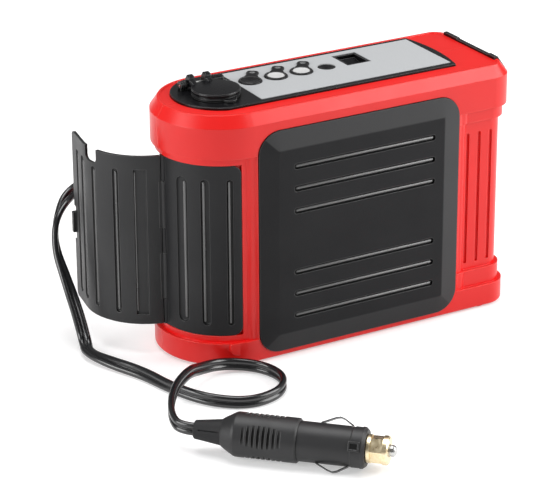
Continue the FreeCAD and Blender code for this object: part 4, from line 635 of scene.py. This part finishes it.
# painted highlight: the ribs are pale grey, far paler than the black round them, so each shows as a
# bright line
rib_painted_highlight = moulded(
    "rib_painted_highlight", (0.07, 0.07, 0.07), (0.10, 0.10, 0.10), (0.20, 0.28),
    3000, 0.00002, 0.3, 0.8)
deck_skin = moulded(
    "deck_skin", (0.004, 0.004, 0.005), (0.007, 0.007, 0.008), (0.22, 0.30),
    2800, 0.00003, 0.4, 0.25, edge=(0.10, 0.10, 0.10), groove=(0.001, 0.001, 0.001))
grey_knob = moulded(
    "grey_knob", (0.50, 0.50, 0.50), (0.58, 0.58, 0.58), (0.30, 0.38), 2400, 0.00002, 0.3)
plug_skin = moulded(
    "plug_skin", (0.012, 0.012, 0.013), (0.018, 0.018, 0.019), (0.42, 0.52),
    2600, 0.00006, 0.5, 0.45, edge=(0.07, 0.07, 0.07), groove=(0.004, 0.004, 0.004))
relief_skin = moulded(
    "relief_skin", (0.010, 0.010, 0.011), (0.015, 0.015, 0.016), (0.52, 0.62),
    2600, 0.00006, 0.5, 0.3)
dark_window = moulded(
    "dark_window", (0.002, 0.002, 0.002), (0.004, 0.004, 0.004), (0.5, 0.6),
    2600, 0.00004, 0.4, 0.2)
jacket = moulded(
    "jacket", (0.006, 0.006, 0.007), (0.010, 0.010, 0.011), (0.18, 0.25),
    1400, 0.00002, 0.3, 0.75)
battery_case = moulded(
    "battery_case", (0.10, 0.10, 0.11), (0.13, 0.13, 0.14), (0.40, 0.48), 1800, 0.00005)
component_case = moulded(
    "component_case", (0.012, 0.012, 0.014), (0.018, 0.018, 0.020), (0.30, 0.40), 1800, 0.00003)
print("made", len(bpy.data.materials), "materials so far")


# %% The printed label
BRUSHING = (900, 3, (1, 6, 1))  # scale, detail and stretch


def label_print():
    """A satin grey overlay with a very fine brushing along its length."""
    finish, shader, tree = new_finish("label_print", (0.46, 0.47, 0.48), 0.34)
    fine = grain(tree, *BRUSHING)
    shade = spread(tree, fine, 0, 1)
    colour = tint(tree, shade, (0.38, 0.39, 0.40), (0.47, 0.48, 0.49))
    tree.links.new(colour, shader.inputs["Base Color"])
    tree.links.new(spread(tree, fine, 0.30, 0.42), shader.inputs["Roughness"])
    bump(tree, shader, fine, 0.2, FINE_RELIEF)
    return finish


label_finish = label_print()
print("made the", label_finish.name, "finish")


# %% [markdown]
# ## Metals and clear parts
# Brass shows small changes of colour and gloss.  Plated steel is greyer and smoother.  The lens
# and the key lamps are clear mouldings over white lamps.

# %% Metals
def metal(name, dark, light, rough, scale):
    """A metal in two close shades, with a fine grain in its gloss and its surface."""
    finish, shader, tree = new_finish(name, light, rough[0], 1.0)
    fine = grain(tree, scale, 3)
    tree.links.new(tint(tree, spread(tree, fine, 0, 1), dark, light), shader.inputs["Base Color"])
    tree.links.new(spread(tree, fine, *rough), shader.inputs["Roughness"])
    bump(tree, shader, fine, 0.25, FINE_RELIEF)
    return finish


brass = metal("brass", (0.80, 0.64, 0.38), (0.92, 0.80, 0.56), (0.26, 0.38), 500)
spring_steel = metal("spring_steel", (0.10, 0.10, 0.10), (0.18, 0.18, 0.18), (0.22, 0.32), 700)
steel = metal("steel", (0.50, 0.50, 0.49), (0.64, 0.64, 0.62), (0.20, 0.34), 700)
plated = metal("plated", (0.60, 0.60, 0.60), (0.72, 0.72, 0.71), (0.12, 0.22), 600)
mirror_bowl = metal("mirror_bowl", (0.74, 0.74, 0.75), (0.82, 0.82, 0.83), (0.08, 0.16), 300)
print("made", len(bpy.data.materials), "materials so far")


# %% Clear plastics, lamps and board
CLEARNESS, REFRACTION = 0.85, 1.49  # how much light goes through, and how it bends


def clear(name, colour, roughness):
    """A clear moulding with a faintly uneven face."""
    finish, shader, tree = new_finish(name, colour, roughness)
    shader.inputs["Transmission Weight"].default_value = CLEARNESS
    shader.inputs["IOR"].default_value = REFRACTION
    bump(tree, shader, grain(tree, 260, 2), 0.08, FINE_RELIEF)
    return finish


clear_plastic = clear("clear_plastic", (0.90, 0.92, 0.93), 0.06)
fuse_glass = clear("fuse_glass", (0.86, 0.90, 0.90), 0.04)
lamp_white = moulded(
    "lamp_white", (0.74, 0.75, 0.70), (0.82, 0.83, 0.78), (0.16, 0.24), 800, 0.00001, 0.2)
board_mask = moulded(
    "board_mask", (0.012, 0.09, 0.03), (0.020, 0.13, 0.05), (0.24, 0.34), 700, 0.00003)
fuse_plastic = moulded(
    "fuse_plastic", (0.62, 0.16, 0.02), (0.72, 0.20, 0.03), (0.22, 0.30), 900, 0.00002)
print("made", len(bpy.data.materials), "materials in all")


# %% [markdown]
# ## Put the finishes on
# The record says which slot each piece has, and each slot has one finish.  Three pieces differ
# from the rest of their slot: the plug's springs, the door and the plug's strain relief.  The
# window's frame keeps the plug's finish, and only the pane inside it is dark.

# %% A finish for each piece
PANE_INSET = 0.9 * MM  # from the window's ends
PANE_REACH = (10.6 * MM, WINDOW_REACH - 0.2 * MM)  # from the plug's axis

FINISH_OF_SLOT = {
    "housing_red": red_shell, "panel_black": panel_skin, "cover_black": cover_skin,
    "inner_black": deck_skin, "label_grey": label_finish, "button_grey": grey_knob,
    "lamp_clear": clear_plastic, "steel": steel, "bright_metal": plated,
    "reflector": mirror_bowl, "lamp_white": lamp_white, "battery_case": battery_case,
    "brass": brass, "board_green": board_mask, "component_dark": component_case,
    "fuse_orange": fuse_plastic, "rubber_black": jacket, "plug_black": plug_skin,
    "fuse_glass": fuse_glass,
}
slot_of_node = {s["node"]: s["material_slot"] for s in frame["record"]["subparts"]}
for node, slot in slot_of_node.items():
    made = frame["nodes"][node]
    made.data.materials.clear()
    made.data.materials.append(FINISH_OF_SLOT[slot])
frame["nodes"]["plug_contacts"].data.materials[0] = spring_steel
# the door's paler black stands in for the sheen of light on it: painted sheen
frame["nodes"]["storage_door"].data.materials[0] = door_painted_sheen
frame["nodes"]["plug_strain_relief"].data.materials[0] = relief_skin
flat_lead.data.materials.append(jacket)
# the ribs' pale grey is a painted highlight
for rib in panel_ribs + cover_ribs + door_ribs:
    rib.data.materials.append(rib_painted_highlight)
window_centre = PLUG_END + PLUG_AXIS * WINDOW_STATION
for window in plug_windows:
    window.data.materials.append(plug_skin)
    window.data.materials.append(dark_window)
    for face in window.data.polygons:
        away = face.center - window_centre
        in_frame = abs(away.dot(PLUG_AXIS)) < WINDOW_SIZE[0] / 2 - PANE_INSET
        reach = (away - PLUG_AXIS * away.dot(PLUG_AXIS)).length
        face.material_index = int(in_frame and PANE_REACH[0] < reach < PANE_REACH[1])
print("finished", len(slot_of_node), "nodes with", len(FINISH_OF_SLOT), "finishes")


# %% [markdown]
# ## Floor, backdrop and light
# A wide pale floor stands in for a studio table and fills the view.  It has a glow that only the
# camera, reflections and clear parts see, so it looks white without lighting the booster's matt
# faces.  The glow is weaker under the booster than further off, which leaves a soft shadow there.

# %% Floor
FLOOR_SIZE = 8  # metres
FLOOR_GLOW, GLOW_RANGE = (0.40, 0.95), (0.3, 1.6)  # the glow at two distances in metres
WORLD_LIGHT = 0.2
PAPER_ROUGHNESS, PAPER_GLOSS = 0.9, 0.1


def stage_finish(name, colour, glow):
    """A matt studio surface with a little glow of its own to the camera and in reflections."""
    finish, shader, tree = new_finish(name, colour, PAPER_ROUGHNESS)
    shader.inputs["Specular IOR Level"].default_value = PAPER_GLOSS
    shader.inputs["Emission Color"].default_value = (1, 1, 1, 1)
    path = tree.nodes.new("ShaderNodeLightPath")
    seen = path.outputs["Is Camera Ray"]
    for ray in ("Is Glossy Ray", "Is Transmission Ray"):
        seen = work_out(tree, "MAXIMUM", seen, path.outputs[ray])
    place = tree.nodes.new("ShaderNodeTexCoord")
    distance = tree.nodes.new("ShaderNodeVectorMath")
    distance.operation = "LENGTH"
    tree.links.new(place.outputs["Object"], distance.inputs[0])
    strength = spread(tree, distance.outputs["Value"], *glow, *GLOW_RANGE)
    amount = work_out(tree, "MULTIPLY", seen, strength)
    tree.links.new(amount, shader.inputs["Emission Strength"])
    return finish


bpy.ops.object.select_all(action="DESELECT")
bpy.ops.mesh.primitive_plane_add(size=FLOOR_SIZE, location=(0, 0, 0))
floor = bpy.context.object
floor.name = "studio_floor"
floor.data.materials.append(stage_finish("studio_paper", (0.72, 0.72, 0.72), FLOOR_GLOW))

world = bpy.data.worlds.new("studio_world")
bpy.context.scene.world = world
world.use_nodes = True
world.node_tree.nodes["Background"].inputs["Color"].default_value = (1, 1, 1, 1)
world.node_tree.nodes["Background"].inputs["Strength"].default_value = WORLD_LIGHT
print("floor is", FLOOR_SIZE, "m wide")


# %% [markdown]
# Three square lamps light the booster: one at its front right, one at its far left, and a large
# one above.

# %% Lamps
LAMPS = [
    # name, place and target in metres, size in metres, power in watts
    ("key_light", (0.58, -0.45, 0.44), (0, 0, 0.07), 0.65, 7.2),
    ("fill_light", (-1.3, 0.02, 0.5), (0, 0, 0.07), 0.8, 12),
    ("top_light", (-0.1, 0.20, 1.5), (0, 0, 0.1), 1.0, 17),
]


def softbox(name, place, aim, size, power):
    """A square lamp at a place, pointed at a target, both in metres."""
    bpy.ops.object.light_add(type="AREA", location=place)
    lamp = bpy.context.object
    lamp.name = name
    lamp.data.shape = "SQUARE"
    lamp.data.size = size
    lamp.data.energy = power
    lamp.rotation_euler = (Vector(aim) - Vector(place)).to_track_quat("-Z", "Y").to_euler()
    return lamp


for lamp_settings in LAMPS:
    softbox(*lamp_settings)
print("lit by", len(LAMPS), "lamps")

bpy.context.scene.view_settings.view_transform = "Standard"
